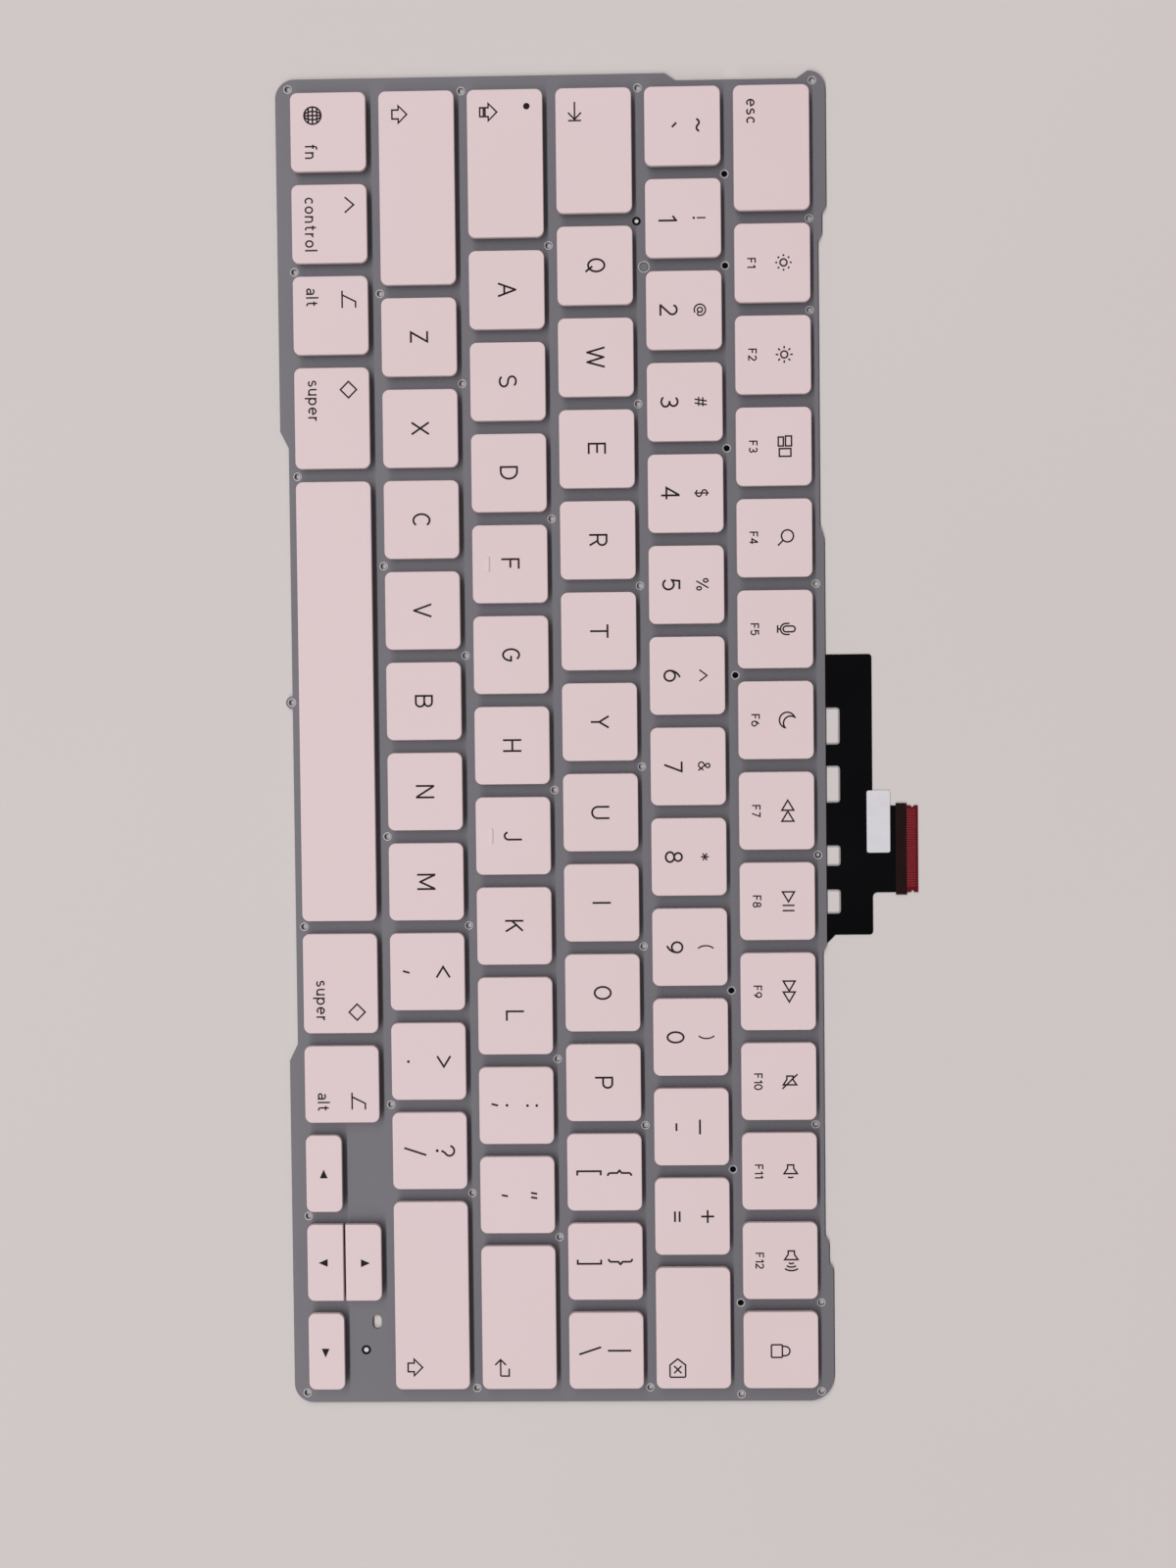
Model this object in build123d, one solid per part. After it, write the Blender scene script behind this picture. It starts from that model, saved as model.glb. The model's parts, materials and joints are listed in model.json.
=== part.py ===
from build123d import *
import os
from dataclasses import dataclass
from functools import cache
from math import asin, atan2, cos, degrees, radians, sin

# Low-profile laptop keyboard module: keycaps on scissor frames and rubber domes over a stamped plate,
# with one black circuit sheet under the plate whose tail runs out at the back.
# Millimetres. +X runs right along the key rows, +Y towards the function row, +Z up through the keys.
# The origin is the centre of the four corner screw holes, on the underside of the base plate.

# Key field
KEY_PITCH = 19.0  # one key unit along a row
ROW_PITCH = 18.44  # one row to the next
KEY_GAP = 2.62  # open gap between neighbouring caps
SPLIT_GAP = 0.4  # slit between the up and down arrow caps
FIELD_UNITS = 14.5  # length of every row
FIELD_ROWS = 6

# Keycaps
CAP_HEIGHT = 1.2
CAP_ROOF = 0.6  # thickness over the hollow underside
CAP_WALL = 0.9
CAP_CORNER_RADIUS = 1.5
CAP_CORNER_FACETS = 2  # flats that make up each rounded corner
KEY_TRAVEL = 1.0
BOTTOM_CLEARANCE = 0.25  # cap to plate when a key is fully down
HOMING_BAR_LENGTH = 3.3
HOMING_BAR_WIDTH = 0.8
HOMING_BAR_HEIGHT = 0.2
HOMING_BAR_INSET = 3.3  # front edge of the cap to the middle of the bar

# Base plate
PLATE_THICKNESS = 0.6
PLATE_MARGIN_X = 2.05  # plate beyond the key field at each end
PLATE_MARGIN_Y = 2.13  # plate beyond the key field, front and back
EDGE_RECESS = 1.75  # how far the edge steps in between the corner tabs
SHELF_RECESS = 0.85  # how far it steps in over the tail
LEFT_RECESS = 1.55  # how far the left end steps in beside the two upper rows
FRONT_TAB_UNITS = 3.5  # where the front tabs end, in key units either side of the middle
BACK_TAB_UNITS = 5.5  # where the back edge starts to rise to its tabs
BACK_STEP_DROP = 0.9  # height of the upper of the two steps down from each back tab
BACK_STEP_SLOPE = 1.5  # length of each sloped step
BACK_STEP_FLAT = 4.2  # level edge between the two steps
SHELF_UNITS = -2.25  # left end of the edge over the tail
SHELF_RISE = 2.85
CORNER_RADIUS = 4.0
BACK_RIGHT_RADIUS = 5.2
BACK_LEFT_RADIUS = 3.4
SHOULDER = 0.3  # straight edge below the rounded back left corner
EAR_RADIUS = 1.3  # half-round ear at the middle of the front edge
SCREW_HOLE_RADIUS = 0.6
SMALL_HOLE_FACETS = 6  # sides of every hole but the four at the corners
LOCATING_HOLE_RADIUS = 0.7
LOCATING_HOLE_OFFSET = 0.3  # right of the middle of the right arrow key
LOCATING_SLOT_LENGTH = 2.9
LOCATING_SLOT_WIDTH = 1.9
LOCATING_SLOT_LEFT = 6.0  # left of the locating hole
LOCATING_SLOT_BACK = 2.4  # behind the locating hole
LOCATING_CLEARANCE = 0.5  # circuit to the slot and hole above it
PIN_HOLE_RADIUS = 0.9  # larger hole beside the two upper rows
PIN_HOLE_UNITS = -5.25
PIN_HOLE_OFFSET = 0.97  # behind the line between the second and third rows

# Scissor frames, domes and stabiliser wires
FRAME_WIDTH = 10.6
FRAME_MARGIN = 0.38  # frame to the cap's inner wall, front and back
FRAME_DEPTH_LIMIT = 11.0
FRAME_BAR = 1.1
FRAME_THICKNESS = 0.45
FRAME_CLEARANCE = 0.15  # inner frame to outer frame
SEAT_CLEARANCE = 0.05  # frames and domes to the plate and the cap roof
DOME_BASE_RADIUS = 2.1
DOME_TOP_RADIUS = 1.2
DOME_FACETS = 5
DOME_FRAME_CLEARANCE = 0.3
WINDOW_CLEARANCE = 0.5  # dome to the edge of its window in the plate
WIRE_THICKNESS = 0.5
WIRE_DEPTH = 9.0
WIRE_END_CLEARANCE = 1.0
WIRE_MIN_UNITS = 1.75  # keys at least this wide carry a stabiliser wire

# Switch circuit and its tail
CIRCUIT_THICKNESS = 0.2
CIRCUIT_INSET_X = 7.5  # circuit inside the plate's ends
CIRCUIT_INSET_Y = 5.4  # circuit inside the plate's front and back edges
CIRCUIT_SLOT_WIDTH = 2.6  # slots under the rows of screw holes
TAIL_LEFT = -18.4
TAIL_RIGHT = 40.7
TAIL_ROOT_FLARE = 1.85  # extra width where the tail leaves the plate
TAIL_REACH = 9.75  # wide part of the tail beyond the plate's back edge
TAIL_CORNER_RADIUS = 0.7
NECK_LEFT = 13.5
NECK_WIDTH = 18.3
NECK_LENGTH = 9.5
NECK_FILLET = 1.0
TAIL_WINDOW_DEPTH = 3.0
TAIL_WINDOW_LAP = 0.8  # how far the tail's windows run under the plate
TAIL_WINDOWS = [(-7.25, 7.8), (5.0, 7.8), (21.8, 4.35), (31.1, 5.15)]  # left side and width of each
BAND_OVERHANG = 0.5
BAND_START = 4.85  # band from the end of the wide part
BAND_LENGTH = 2.3
BAND_THICKNESS = 0.15
CONTACT_THICKNESS = 0.1
CONTACT_NOTCH = 0.5
LABEL_LEFT = 10.3
LABEL_WIDTH = 13.1
LABEL_LENGTH = 4.9
LABEL_LAP = 1.2  # how far the label overlaps the wide part
LABEL_THICKNESS = 0.08

# Key names and widths in units, from the left; the first row is the function row
ROWS = [
    [("escape", 1.5)] + [(f"f{n}", 1) for n in range(1, 13)] + [("lock", 1)],
    [("grave", 1)] + [(digit, 1) for digit in "1234567890"] + [("minus", 1), ("equals", 1), ("delete", 1.5)],
    [("tab", 1.5)] + [(letter, 1) for letter in "qwertyuiop"]
    + [("left_bracket", 1), ("right_bracket", 1), ("backslash", 1)],
    [("caps_lock", 1.75)] + [(letter, 1) for letter in "asdfghjkl"]
    + [("semicolon", 1), ("quote", 1), ("return", 1.75)],
    [("left_shift", 2.25)] + [(letter, 1) for letter in "zxcvbnm"]
    + [("comma", 1), ("period", 1), ("slash", 1), ("right_shift", 2.25)],
    [("fn", 1), ("control", 1), ("left_alt", 1), ("left_super", 1.25), ("space", 5), ("right_super", 1.25),
     ("right_alt", 1), ("arrow_left", 1), ("arrow_down", 1), ("arrow_right", 1)],
]
GROUPED_ROWS = {0: "function_row_keycaps", 1: "number_row_keycaps"}
FRONT_HALF_KEYS = ("arrow_left", "arrow_down", "arrow_right")
HOMING_KEYS = ("f", "j")

# Screw holes: how far a line of holes stands from the line between two rows of keys
HOLE_FORWARD = 0.5  # most lines stand a little in front
HOLE_BACKWARD = 0.9  # some stand behind
EDGE_HOLE_INSET = 1.4  # holes in the front and back tabs, inside the key field

# Each line of holes: its line between rows (0 is the front edge of the field, 6 the back edge), the distance
# from that line, and the places along the row in key units
SCREW_LINES = [
    (0, EDGE_HOLE_INSET, [-5.25, -3, 2, 5.25]),
    (1, HOLE_BACKWARD, [-5, -2, 1, 4]),
    (2, -HOLE_FORWARD, [-4, -1, 2, 5]),
    (3, -HOLE_FORWARD, [-5.5, -2.5, 0.5, 3.5, 5.5]),
    (4, -HOLE_FORWARD, [-5.75, -3.75, -1.75, 0.25, 2.25, 4.25]),
    (5, -HOLE_FORWARD, [-6.25, -5.25, -3.25, 2.75, 4.75]),
    (5, HOLE_BACKWARD, [-0.75, 6.25, 7.28]),
    (6, -EDGE_HOLE_INSET, [-5.75, -4.75, 4.25]),
    (6, -HOLE_FORWARD, [-1.75, 1.25, 6.25]),
]
SLOTTED_LINES = (1, 2, 3, 4)  # lines of holes that the circuit is slotted under
EAR_UNITS = -0.5  # place of the front ear, in key units
EAR_DROP = 0.48  # ear hole beyond the front of the key field
CORNER_HOLE_INSET_Y = 0.57  # corner holes inside the front and back of the key field
SIDE_HOLE_INSET_X = 0.95  # side holes inside the ends of the key field

FIELD_HALF_X = FIELD_UNITS * KEY_PITCH / 2
FIELD_HALF_Y = FIELD_ROWS * ROW_PITCH / 2
PLATE_HALF_X = FIELD_HALF_X + PLATE_MARGIN_X
PLATE_HALF_Y = FIELD_HALF_Y + PLATE_MARGIN_Y
EDGE_Y = PLATE_HALF_Y - EDGE_RECESS
SHELF_Y = PLATE_HALF_Y - SHELF_RECESS
LEFT_X = PLATE_HALF_X - LEFT_RECESS
CAP_DEPTH = ROW_PITCH - KEY_GAP
HALF_CAP_DEPTH = (CAP_DEPTH - SPLIT_GAP) / 2
CAP_BOTTOM = PLATE_THICKNESS + KEY_TRAVEL + BOTTOM_CLEARANCE
SEAT_LOW = PLATE_THICKNESS + SEAT_CLEARANCE  # underside of the frames
SEAT_HIGH = CAP_BOTTOM + CAP_HEIGHT - CAP_ROOF - SEAT_CLEARANCE  # top of the frames and domes


@dataclass
class Key:
    """One key: its name, row, width in units, and the middle and size of its cap."""

    name: str
    row: int
    units: float
    x: float
    y: float
    width: float
    depth: float
    square_side: int = 0  # +1: the back corners are square, -1: the front ones

    @property
    def has_wire(self):
        """Whether the cap is wide enough to carry a stabiliser wire."""
        return self.units >= WIRE_MIN_UNITS

    @property
    def frame_depth(self):
        """Depth of the scissor frames that fit inside the cap, in front of any wire."""
        edge = CAP_WALL + FRAME_MARGIN
        if self.has_wire:
            edge += 2 * WIRE_THICKNESS
        return min(FRAME_DEPTH_LIMIT, self.depth - 2 * edge)

    @property
    def dome_scale(self):
        """Share of the full dome's radius that fits between this key's frame bars."""
        room = self.frame_depth / 2 - FRAME_BAR - DOME_FRAME_CLEARANCE
        return min(1.0, room / DOME_BASE_RADIUS)


def line_y(line):
    """Return the y of a line between two rows, counted from the front edge of the key field."""
    return line * ROW_PITCH - FIELD_HALF_Y


def lay_out_keys():
    """Return every key, row by row from the back and from the left."""
    keys = []
    for row, names in enumerate(ROWS):
        left = -FIELD_HALF_X
        y = FIELD_HALF_Y - (row + 0.5) * ROW_PITCH
        front_y = y - (CAP_DEPTH - HALF_CAP_DEPTH) / 2
        back_y = y + (CAP_DEPTH - HALF_CAP_DEPTH) / 2
        for name, units in names:
            width = units * KEY_PITCH - KEY_GAP
            x = left + units * KEY_PITCH / 2
            left += units * KEY_PITCH
            if name not in FRONT_HALF_KEYS:
                keys.append(Key(name, row, units, x, y, width, CAP_DEPTH))
            elif name == "arrow_down":
                keys.append(Key(name, row, units, x, front_y, width, HALF_CAP_DEPTH, 1))
                keys.append(Key("arrow_up", row, units, x, back_y, width, HALF_CAP_DEPTH, -1))
            else:
                keys.append(Key(name, row, units, x, front_y, width, HALF_CAP_DEPTH))
    return keys


def cap_outline(width, depth, square_side):
    """Return a cap's outline: a rectangle with each corner rounded by a few flats, or left square."""
    points = []
    for turn, (side_x, side_y) in enumerate([(1, 1), (-1, 1), (-1, -1), (1, -1)]):
        if side_y == square_side:
            points.append((side_x * width / 2, side_y * depth / 2))
            continue
        centre_x = side_x * (width / 2 - CAP_CORNER_RADIUS)
        centre_y = side_y * (depth / 2 - CAP_CORNER_RADIUS)
        for step in range(CAP_CORNER_FACETS + 1):
            angle = radians(90 * (turn + step / CAP_CORNER_FACETS))
            points.append((centre_x + CAP_CORNER_RADIUS * cos(angle), centre_y + CAP_CORNER_RADIUS * sin(angle)))
    return make_face(Polyline(*points, close=True))


@cache
def cap_shape(width, depth, square_side, has_homing_bar):
    """Return a cap of one size with its hollow underside, standing on z = 0."""
    hollow = Rectangle(width - 2 * CAP_WALL, depth - 2 * CAP_WALL)
    cap = extrude(cap_outline(width, depth, square_side), CAP_HEIGHT) - extrude(hollow, CAP_HEIGHT - CAP_ROOF)
    if has_homing_bar:
        bar = Rectangle(HOMING_BAR_LENGTH, HOMING_BAR_WIDTH)
        bar_y = HOMING_BAR_INSET - depth / 2
        cap += Pos(0, bar_y, CAP_HEIGHT) * extrude(bar, HOMING_BAR_HEIGHT)
    return cap


def keycap(key):
    """Return one key's cap in its place at rest."""
    cap = cap_shape(key.width, key.depth, key.square_side, key.name in HOMING_KEYS)
    return Pos(key.x, key.y, CAP_BOTTOM) * cap


def tilted(flat, depth, thickness, rises_to_back):
    """Return a flat frame tilted to reach from the plate up to the cap's roof."""
    angle = degrees(asin((SEAT_HIGH - SEAT_LOW - thickness) / depth))
    return Pos(0, 0, (SEAT_LOW + SEAT_HIGH) / 2) * Rot(X=angle if rises_to_back else -angle) * flat


def open_frame(width, depth, bar):
    """Return a U of flat bars, closed at the back."""
    mouth = Pos(0, -bar) * Rectangle(width - 2 * bar, depth)
    return Rectangle(width, depth) - mouth


@cache
def scissor_shape(depth):
    """Return the outer and inner frames of a scissor of one depth, crossing at the middle."""
    opening = Rectangle(FRAME_WIDTH - 2 * FRAME_BAR, depth - 2 * FRAME_BAR)
    outer = extrude(Rectangle(FRAME_WIDTH, depth) - opening, FRAME_THICKNESS / 2, both=True)
    inner_width = FRAME_WIDTH - 2 * (FRAME_BAR + FRAME_CLEARANCE)
    inner = extrude(open_frame(inner_width, depth, FRAME_BAR), FRAME_THICKNESS / 2, both=True)
    outer = tilted(outer, depth, FRAME_THICKNESS, False)
    inner = tilted(inner, depth, FRAME_THICKNESS, True)
    return [outer, inner]


def scissor(key):
    """Return the two frames that cross under one key."""
    return [Pos(key.x, key.y) * frame for frame in scissor_shape(key.frame_depth)]


@cache
def dome_shape(scale):
    """Return a rubber dome of one size, standing on the circuit."""
    base = RegularPolygon(DOME_BASE_RADIUS * scale, DOME_FACETS)
    inset = (DOME_BASE_RADIUS - DOME_TOP_RADIUS) * scale * cos(radians(180 / DOME_FACETS))
    return extrude(base, SEAT_HIGH, taper=degrees(atan2(inset, SEAT_HIGH)))


def dome(key):
    """Return the rubber dome that holds up one key."""
    return Pos(key.x, key.y) * dome_shape(key.dome_scale)


def stabiliser(key):
    """Return the bent wire that keeps a wide cap level."""
    length = key.width - 2 * (CAP_WALL + WIRE_END_CLEARANCE)
    wire = extrude(open_frame(length, WIRE_DEPTH, WIRE_THICKNESS), WIRE_THICKNESS / 2, both=True)
    back = key.y + key.depth / 2 - CAP_WALL - WIRE_THICKNESS - WIRE_DEPTH / 2
    return Pos(key.x, back) * tilted(wire, WIRE_DEPTH, WIRE_THICKNESS, True)


def plate_outline():
    """Return the plate's stepped outline, with rounded corners and the ear at the front."""
    front_tab = FRONT_TAB_UNITS * KEY_PITCH
    front_step = front_tab - 2 * EDGE_RECESS
    back_step = BACK_TAB_UNITS * KEY_PITCH
    flat_start = back_step + BACK_STEP_SLOPE
    flat_end = flat_start + BACK_STEP_FLAT
    back_tab = flat_end + BACK_STEP_SLOPE
    step_y = PLATE_HALF_Y - BACK_STEP_DROP
    shelf_left = SHELF_UNITS * KEY_PITCH
    shoulder_y = PLATE_HALF_Y - BACK_LEFT_RADIUS - SHOULDER
    points = [
        (-PLATE_HALF_X, -PLATE_HALF_Y),
        (-front_tab, -PLATE_HALF_Y),
        (-front_step, -EDGE_Y),
        (front_step, -EDGE_Y),
        (front_tab, -PLATE_HALF_Y),
        (PLATE_HALF_X, -PLATE_HALF_Y),
        (PLATE_HALF_X, PLATE_HALF_Y),
        (back_tab, PLATE_HALF_Y),
        (flat_end, step_y),
        (flat_start, step_y),
        (back_step, EDGE_Y),
        (TAIL_RIGHT + 2 * TAIL_ROOT_FLARE, EDGE_Y),
        (TAIL_RIGHT + TAIL_ROOT_FLARE, SHELF_Y),
        (shelf_left, SHELF_Y),
        (shelf_left - SHELF_RISE, EDGE_Y),
        (-back_step, EDGE_Y),
        (-flat_start, step_y),
        (-flat_end, step_y),
        (-back_tab, PLATE_HALF_Y),
        (-PLATE_HALF_X, PLATE_HALF_Y),
        (-PLATE_HALF_X, shoulder_y),
        (-LEFT_X, shoulder_y - 1.5 * LEFT_RECESS),
        (-LEFT_X, line_y(4) + CAP_DEPTH / 2),
        (-PLATE_HALF_X, line_y(4) + CAP_DEPTH / 2 - 1.5 * LEFT_RECESS),
    ]
    face = make_face(Polyline(*points, close=True))
    ear = Pos(EAR_UNITS * KEY_PITCH, -FIELD_HALF_Y - EAR_DROP) * Circle(EAR_RADIUS)
    rounded = [
        (Vector(-PLATE_HALF_X, -PLATE_HALF_Y), CORNER_RADIUS),
        (Vector(PLATE_HALF_X, -PLATE_HALF_Y), CORNER_RADIUS),
        (Vector(PLATE_HALF_X, PLATE_HALF_Y), BACK_RIGHT_RADIUS),
        (Vector(-PLATE_HALF_X, PLATE_HALF_Y), BACK_LEFT_RADIUS),
    ]
    for spot, radius in rounded:
        face = fillet(face.vertices().sort_by_distance(spot)[0], radius)
    return face + ear


def corner_holes():
    """Return the round holes for the screws at the four corners."""
    grid = GridLocations(2 * FIELD_HALF_X, 2 * (FIELD_HALF_Y - CORNER_HOLE_INSET_Y), 2, 2)
    return [spot * Circle(SCREW_HOLE_RADIUS) for spot in grid]


def small_holes():
    """Return the holes between the keys, at the two ends and in the front ear."""
    spots = [(x * KEY_PITCH, line_y(line) + offset) for line, offset, places in SCREW_LINES for x in places]
    side_x = FIELD_HALF_X - SIDE_HOLE_INSET_X
    spots += [(x * side_x, y * ROW_PITCH) for x in (-1, 1) for y in (-1, 1)]
    spots.append((EAR_UNITS * KEY_PITCH, -FIELD_HALF_Y - EAR_DROP))
    return [Pos(x, y) * RegularPolygon(SCREW_HOLE_RADIUS, SMALL_HOLE_FACETS) for x, y in spots]


def locating_spot(keys):
    """Return the place of the locating hole, in the bare plate behind the right arrow key."""
    key = next(k for k in keys if k.name == "arrow_right")
    return Pos(key.x + LOCATING_HOLE_OFFSET, key.y + CAP_DEPTH - HALF_CAP_DEPTH)


def locating_features(keys):
    """Return the locating hole, the slot beside it and the pin hole."""
    bare = locating_spot(keys)
    hole = bare * RegularPolygon(LOCATING_HOLE_RADIUS, SMALL_HOLE_FACETS)
    slot = bare * Pos(-LOCATING_SLOT_LEFT, LOCATING_SLOT_BACK) * SlotOverall(LOCATING_SLOT_LENGTH, LOCATING_SLOT_WIDTH)
    pin_y = line_y(4) + PIN_HOLE_OFFSET
    pin_hole = Pos(PIN_HOLE_UNITS * KEY_PITCH, pin_y) * RegularPolygon(PIN_HOLE_RADIUS, SMALL_HOLE_FACETS)
    return [slot, hole, pin_hole]


def base_plate(keys):
    """Return the stamped plate with its dome windows, screw holes and locating features."""
    windows = []
    for key in keys:
        side = 2 * (DOME_BASE_RADIUS * key.dome_scale + WINDOW_CLEARANCE)
        windows.append(Pos(key.x, key.y) * Rectangle(side, side))
    sheet = plate_outline() - windows - corner_holes() - small_holes() - locating_features(keys)
    return extrude(sheet, PLATE_THICKNESS)


def tail_end_y():
    """Return the y of the far side of the tail's wide part."""
    return SHELF_Y + TAIL_REACH


def switch_circuit(keys):
    """Return the circuit sheet under the plate, cut out under the screw and locating holes, with its tail."""
    half_x = PLATE_HALF_X - CIRCUIT_INSET_X
    half_y = PLATE_HALF_Y - CIRCUIT_INSET_Y
    end_y = tail_end_y()
    flare_y = SHELF_Y + TAIL_ROOT_FLARE
    neck_right = NECK_LEFT + NECK_WIDTH
    points = [
        (-half_x, -half_y),
        (half_x, -half_y),
        (half_x, half_y),
        (TAIL_RIGHT + TAIL_ROOT_FLARE, half_y),
        (TAIL_RIGHT + TAIL_ROOT_FLARE, SHELF_Y),
        (TAIL_RIGHT, flare_y),
        (TAIL_RIGHT, end_y),
        (neck_right, end_y),
        (neck_right, end_y + NECK_LENGTH),
        (NECK_LEFT, end_y + NECK_LENGTH),
        (NECK_LEFT, end_y),
        (TAIL_LEFT, end_y),
        (TAIL_LEFT, half_y),
        (-half_x, half_y),
    ]
    sheet = make_face(Polyline(*points, close=True))
    rounded = ((6, TAIL_CORNER_RADIUS), (7, NECK_FILLET), (11, TAIL_CORNER_RADIUS))
    for corner, radius in rounded:
        sheet = fillet(sheet.vertices().sort_by_distance(Vector(*points[corner]))[0], radius)
    cuts = []
    for line, offset, places in SCREW_LINES:
        if line in SLOTTED_LINES:
            length = (places[-1] - places[0]) * KEY_PITCH + CIRCUIT_SLOT_WIDTH
            middle = (places[-1] + places[0]) / 2 * KEY_PITCH
            cuts.append(Pos(middle, line_y(line) + offset) * Rectangle(length, CIRCUIT_SLOT_WIDTH))
    clear_x = LOCATING_SLOT_LEFT + LOCATING_SLOT_LENGTH + 2 * LOCATING_CLEARANCE
    clear_y = LOCATING_SLOT_BACK + LOCATING_SLOT_WIDTH + 2 * LOCATING_CLEARANCE
    middle = Pos(-LOCATING_SLOT_LEFT / 2, LOCATING_SLOT_BACK / 2)
    cuts.append(locating_spot(keys) * middle * Rectangle(clear_x, clear_y))
    window_y = SHELF_Y + (TAIL_WINDOW_DEPTH - TAIL_WINDOW_LAP) / 2
    for left, width in TAIL_WINDOWS:
        window = Rectangle(width, TAIL_WINDOW_DEPTH + TAIL_WINDOW_LAP)
        cuts.append(Pos(left + width / 2, window_y) * window)
    return extrude(sheet - cuts, -CIRCUIT_THICKNESS)


def tail_band():
    """Return the cover strip across the neck, behind the contacts."""
    middle = NECK_LEFT + NECK_WIDTH / 2
    strip = Rectangle(NECK_WIDTH + 2 * BAND_OVERHANG, BAND_LENGTH)
    return Pos(middle, tail_end_y() + BAND_START + BAND_LENGTH / 2) * extrude(strip, BAND_THICKNESS)


def contact_strip():
    """Return the stiff contact strip at the end of the tail, notched at both sides."""
    start = tail_end_y() + BAND_START + BAND_LENGTH
    length = NECK_LENGTH - BAND_START - BAND_LENGTH
    half = NECK_WIDTH / 2
    points = []
    for side in (1, -1):
        notch = [(0, 0), (length / 3, 0), (length / 2, CONTACT_NOTCH), (2 * length / 3, 0), (length, 0)]
        walk = notch if side > 0 else reversed(notch)
        points += [(side * (half - depth), along) for along, depth in walk]
    strip = make_face(Polyline(*points, close=True))
    return Pos(NECK_LEFT + half, start) * extrude(strip, CONTACT_THICKNESS)


def tail_label():
    """Return the bare paper label stuck on the tail."""
    middle_x = LABEL_LEFT + LABEL_WIDTH / 2
    middle_y = tail_end_y() - LABEL_LAP + LABEL_LENGTH / 2
    return Pos(middle_x, middle_y) * extrude(Rectangle(LABEL_WIDTH, LABEL_LENGTH), LABEL_THICKNESS)


def solids(shapes):
    """Return one compound of all the solids in a list of shapes."""
    return Compound([solid for shape in shapes for solid in shape.solids()])


def build():
    """Return every piece of the keyboard by name."""
    keys = lay_out_keys()
    pieces = {
        "base_plate": base_plate(keys),
        "switch_circuit": switch_circuit(keys),
        "rubber_domes": solids([dome(key) for key in keys]),
        "scissor_frames": solids([frame for key in keys for frame in scissor(key)]),
        "stabiliser_wires": solids([stabiliser(key) for key in keys if key.has_wire]),
        "tail_band": tail_band(),
        "contact_strip": contact_strip(),
        "tail_label": tail_label(),
    }
    for row, group in GROUPED_ROWS.items():
        pieces[group] = solids([keycap(key) for key in keys if key.row == row])
    for key in keys:
        if key.row not in GROUPED_ROWS:
            pieces[f"keycap_{key.name}"] = keycap(key)
    return pieces


os.makedirs("parts", exist_ok=True)
for name, shape in build().items():
    export_step(shape, f"parts/{name}.step")
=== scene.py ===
"""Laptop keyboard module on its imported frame: printed caps, key mechanisms, stamped plate and flat tail."""

from __future__ import annotations

import json
import logging
from dataclasses import dataclass
from enum import Enum
from math import asin, cos, pi, radians, sin

import bmesh
import bpy
from mathutils import Matrix, Vector

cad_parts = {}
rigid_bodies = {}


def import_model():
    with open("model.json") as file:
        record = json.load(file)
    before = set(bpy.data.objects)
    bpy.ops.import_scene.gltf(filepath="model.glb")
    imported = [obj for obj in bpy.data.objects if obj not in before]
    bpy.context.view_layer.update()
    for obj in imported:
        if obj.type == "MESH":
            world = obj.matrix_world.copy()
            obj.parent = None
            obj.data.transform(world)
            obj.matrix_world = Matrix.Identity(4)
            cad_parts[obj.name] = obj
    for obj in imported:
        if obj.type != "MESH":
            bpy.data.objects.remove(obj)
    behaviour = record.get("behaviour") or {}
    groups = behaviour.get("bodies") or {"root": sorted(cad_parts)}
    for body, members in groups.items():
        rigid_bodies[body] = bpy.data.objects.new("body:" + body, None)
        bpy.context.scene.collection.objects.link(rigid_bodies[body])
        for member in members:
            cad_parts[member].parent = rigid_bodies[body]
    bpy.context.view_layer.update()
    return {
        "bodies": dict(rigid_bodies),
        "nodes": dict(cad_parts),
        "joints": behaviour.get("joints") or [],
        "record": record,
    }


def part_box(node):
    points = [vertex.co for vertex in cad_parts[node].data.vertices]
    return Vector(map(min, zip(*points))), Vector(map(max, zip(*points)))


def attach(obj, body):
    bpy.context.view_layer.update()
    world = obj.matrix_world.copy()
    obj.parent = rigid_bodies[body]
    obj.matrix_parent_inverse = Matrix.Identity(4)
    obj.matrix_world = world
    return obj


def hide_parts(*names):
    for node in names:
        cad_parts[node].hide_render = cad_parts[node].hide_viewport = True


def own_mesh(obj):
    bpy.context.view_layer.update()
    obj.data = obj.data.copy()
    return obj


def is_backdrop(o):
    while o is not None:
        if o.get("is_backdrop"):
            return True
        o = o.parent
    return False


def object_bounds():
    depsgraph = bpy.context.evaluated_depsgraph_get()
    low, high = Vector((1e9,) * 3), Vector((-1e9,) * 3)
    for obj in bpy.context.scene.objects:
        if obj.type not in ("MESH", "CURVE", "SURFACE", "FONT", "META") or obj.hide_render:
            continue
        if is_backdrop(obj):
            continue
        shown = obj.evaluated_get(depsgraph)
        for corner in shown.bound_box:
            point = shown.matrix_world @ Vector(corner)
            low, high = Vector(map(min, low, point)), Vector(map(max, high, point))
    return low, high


LOG = logging.getLogger("keyboard")
MM = 0.001
ROOT = "module"
SQUARE_SHARE = 0.12
DOT_RADIUS = 0.21
RAY_HALF = 0.27
SAME_POINT = 1e-3
SHEET_SHARP_DEGREES = 15.0
Outline = list[Vector]


def linear(colour: str) -> tuple[float, float, float, float]:
    """Turn an sRGB hex colour into linear RGBA.

    Args:
        colour: A colour such as "#dfcacc".

    Returns:
        The linear red, green, blue and an alpha of one.
    """
    values = [int(colour[start:start + 2], 16) / 255 for start in (1, 3, 5)]
    red, green, blue = [v / 12.92 if v <= 0.04045 else ((v + 0.055) / 1.055) ** 2.4 for v in values]
    return red, green, blue, 1.0


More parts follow.
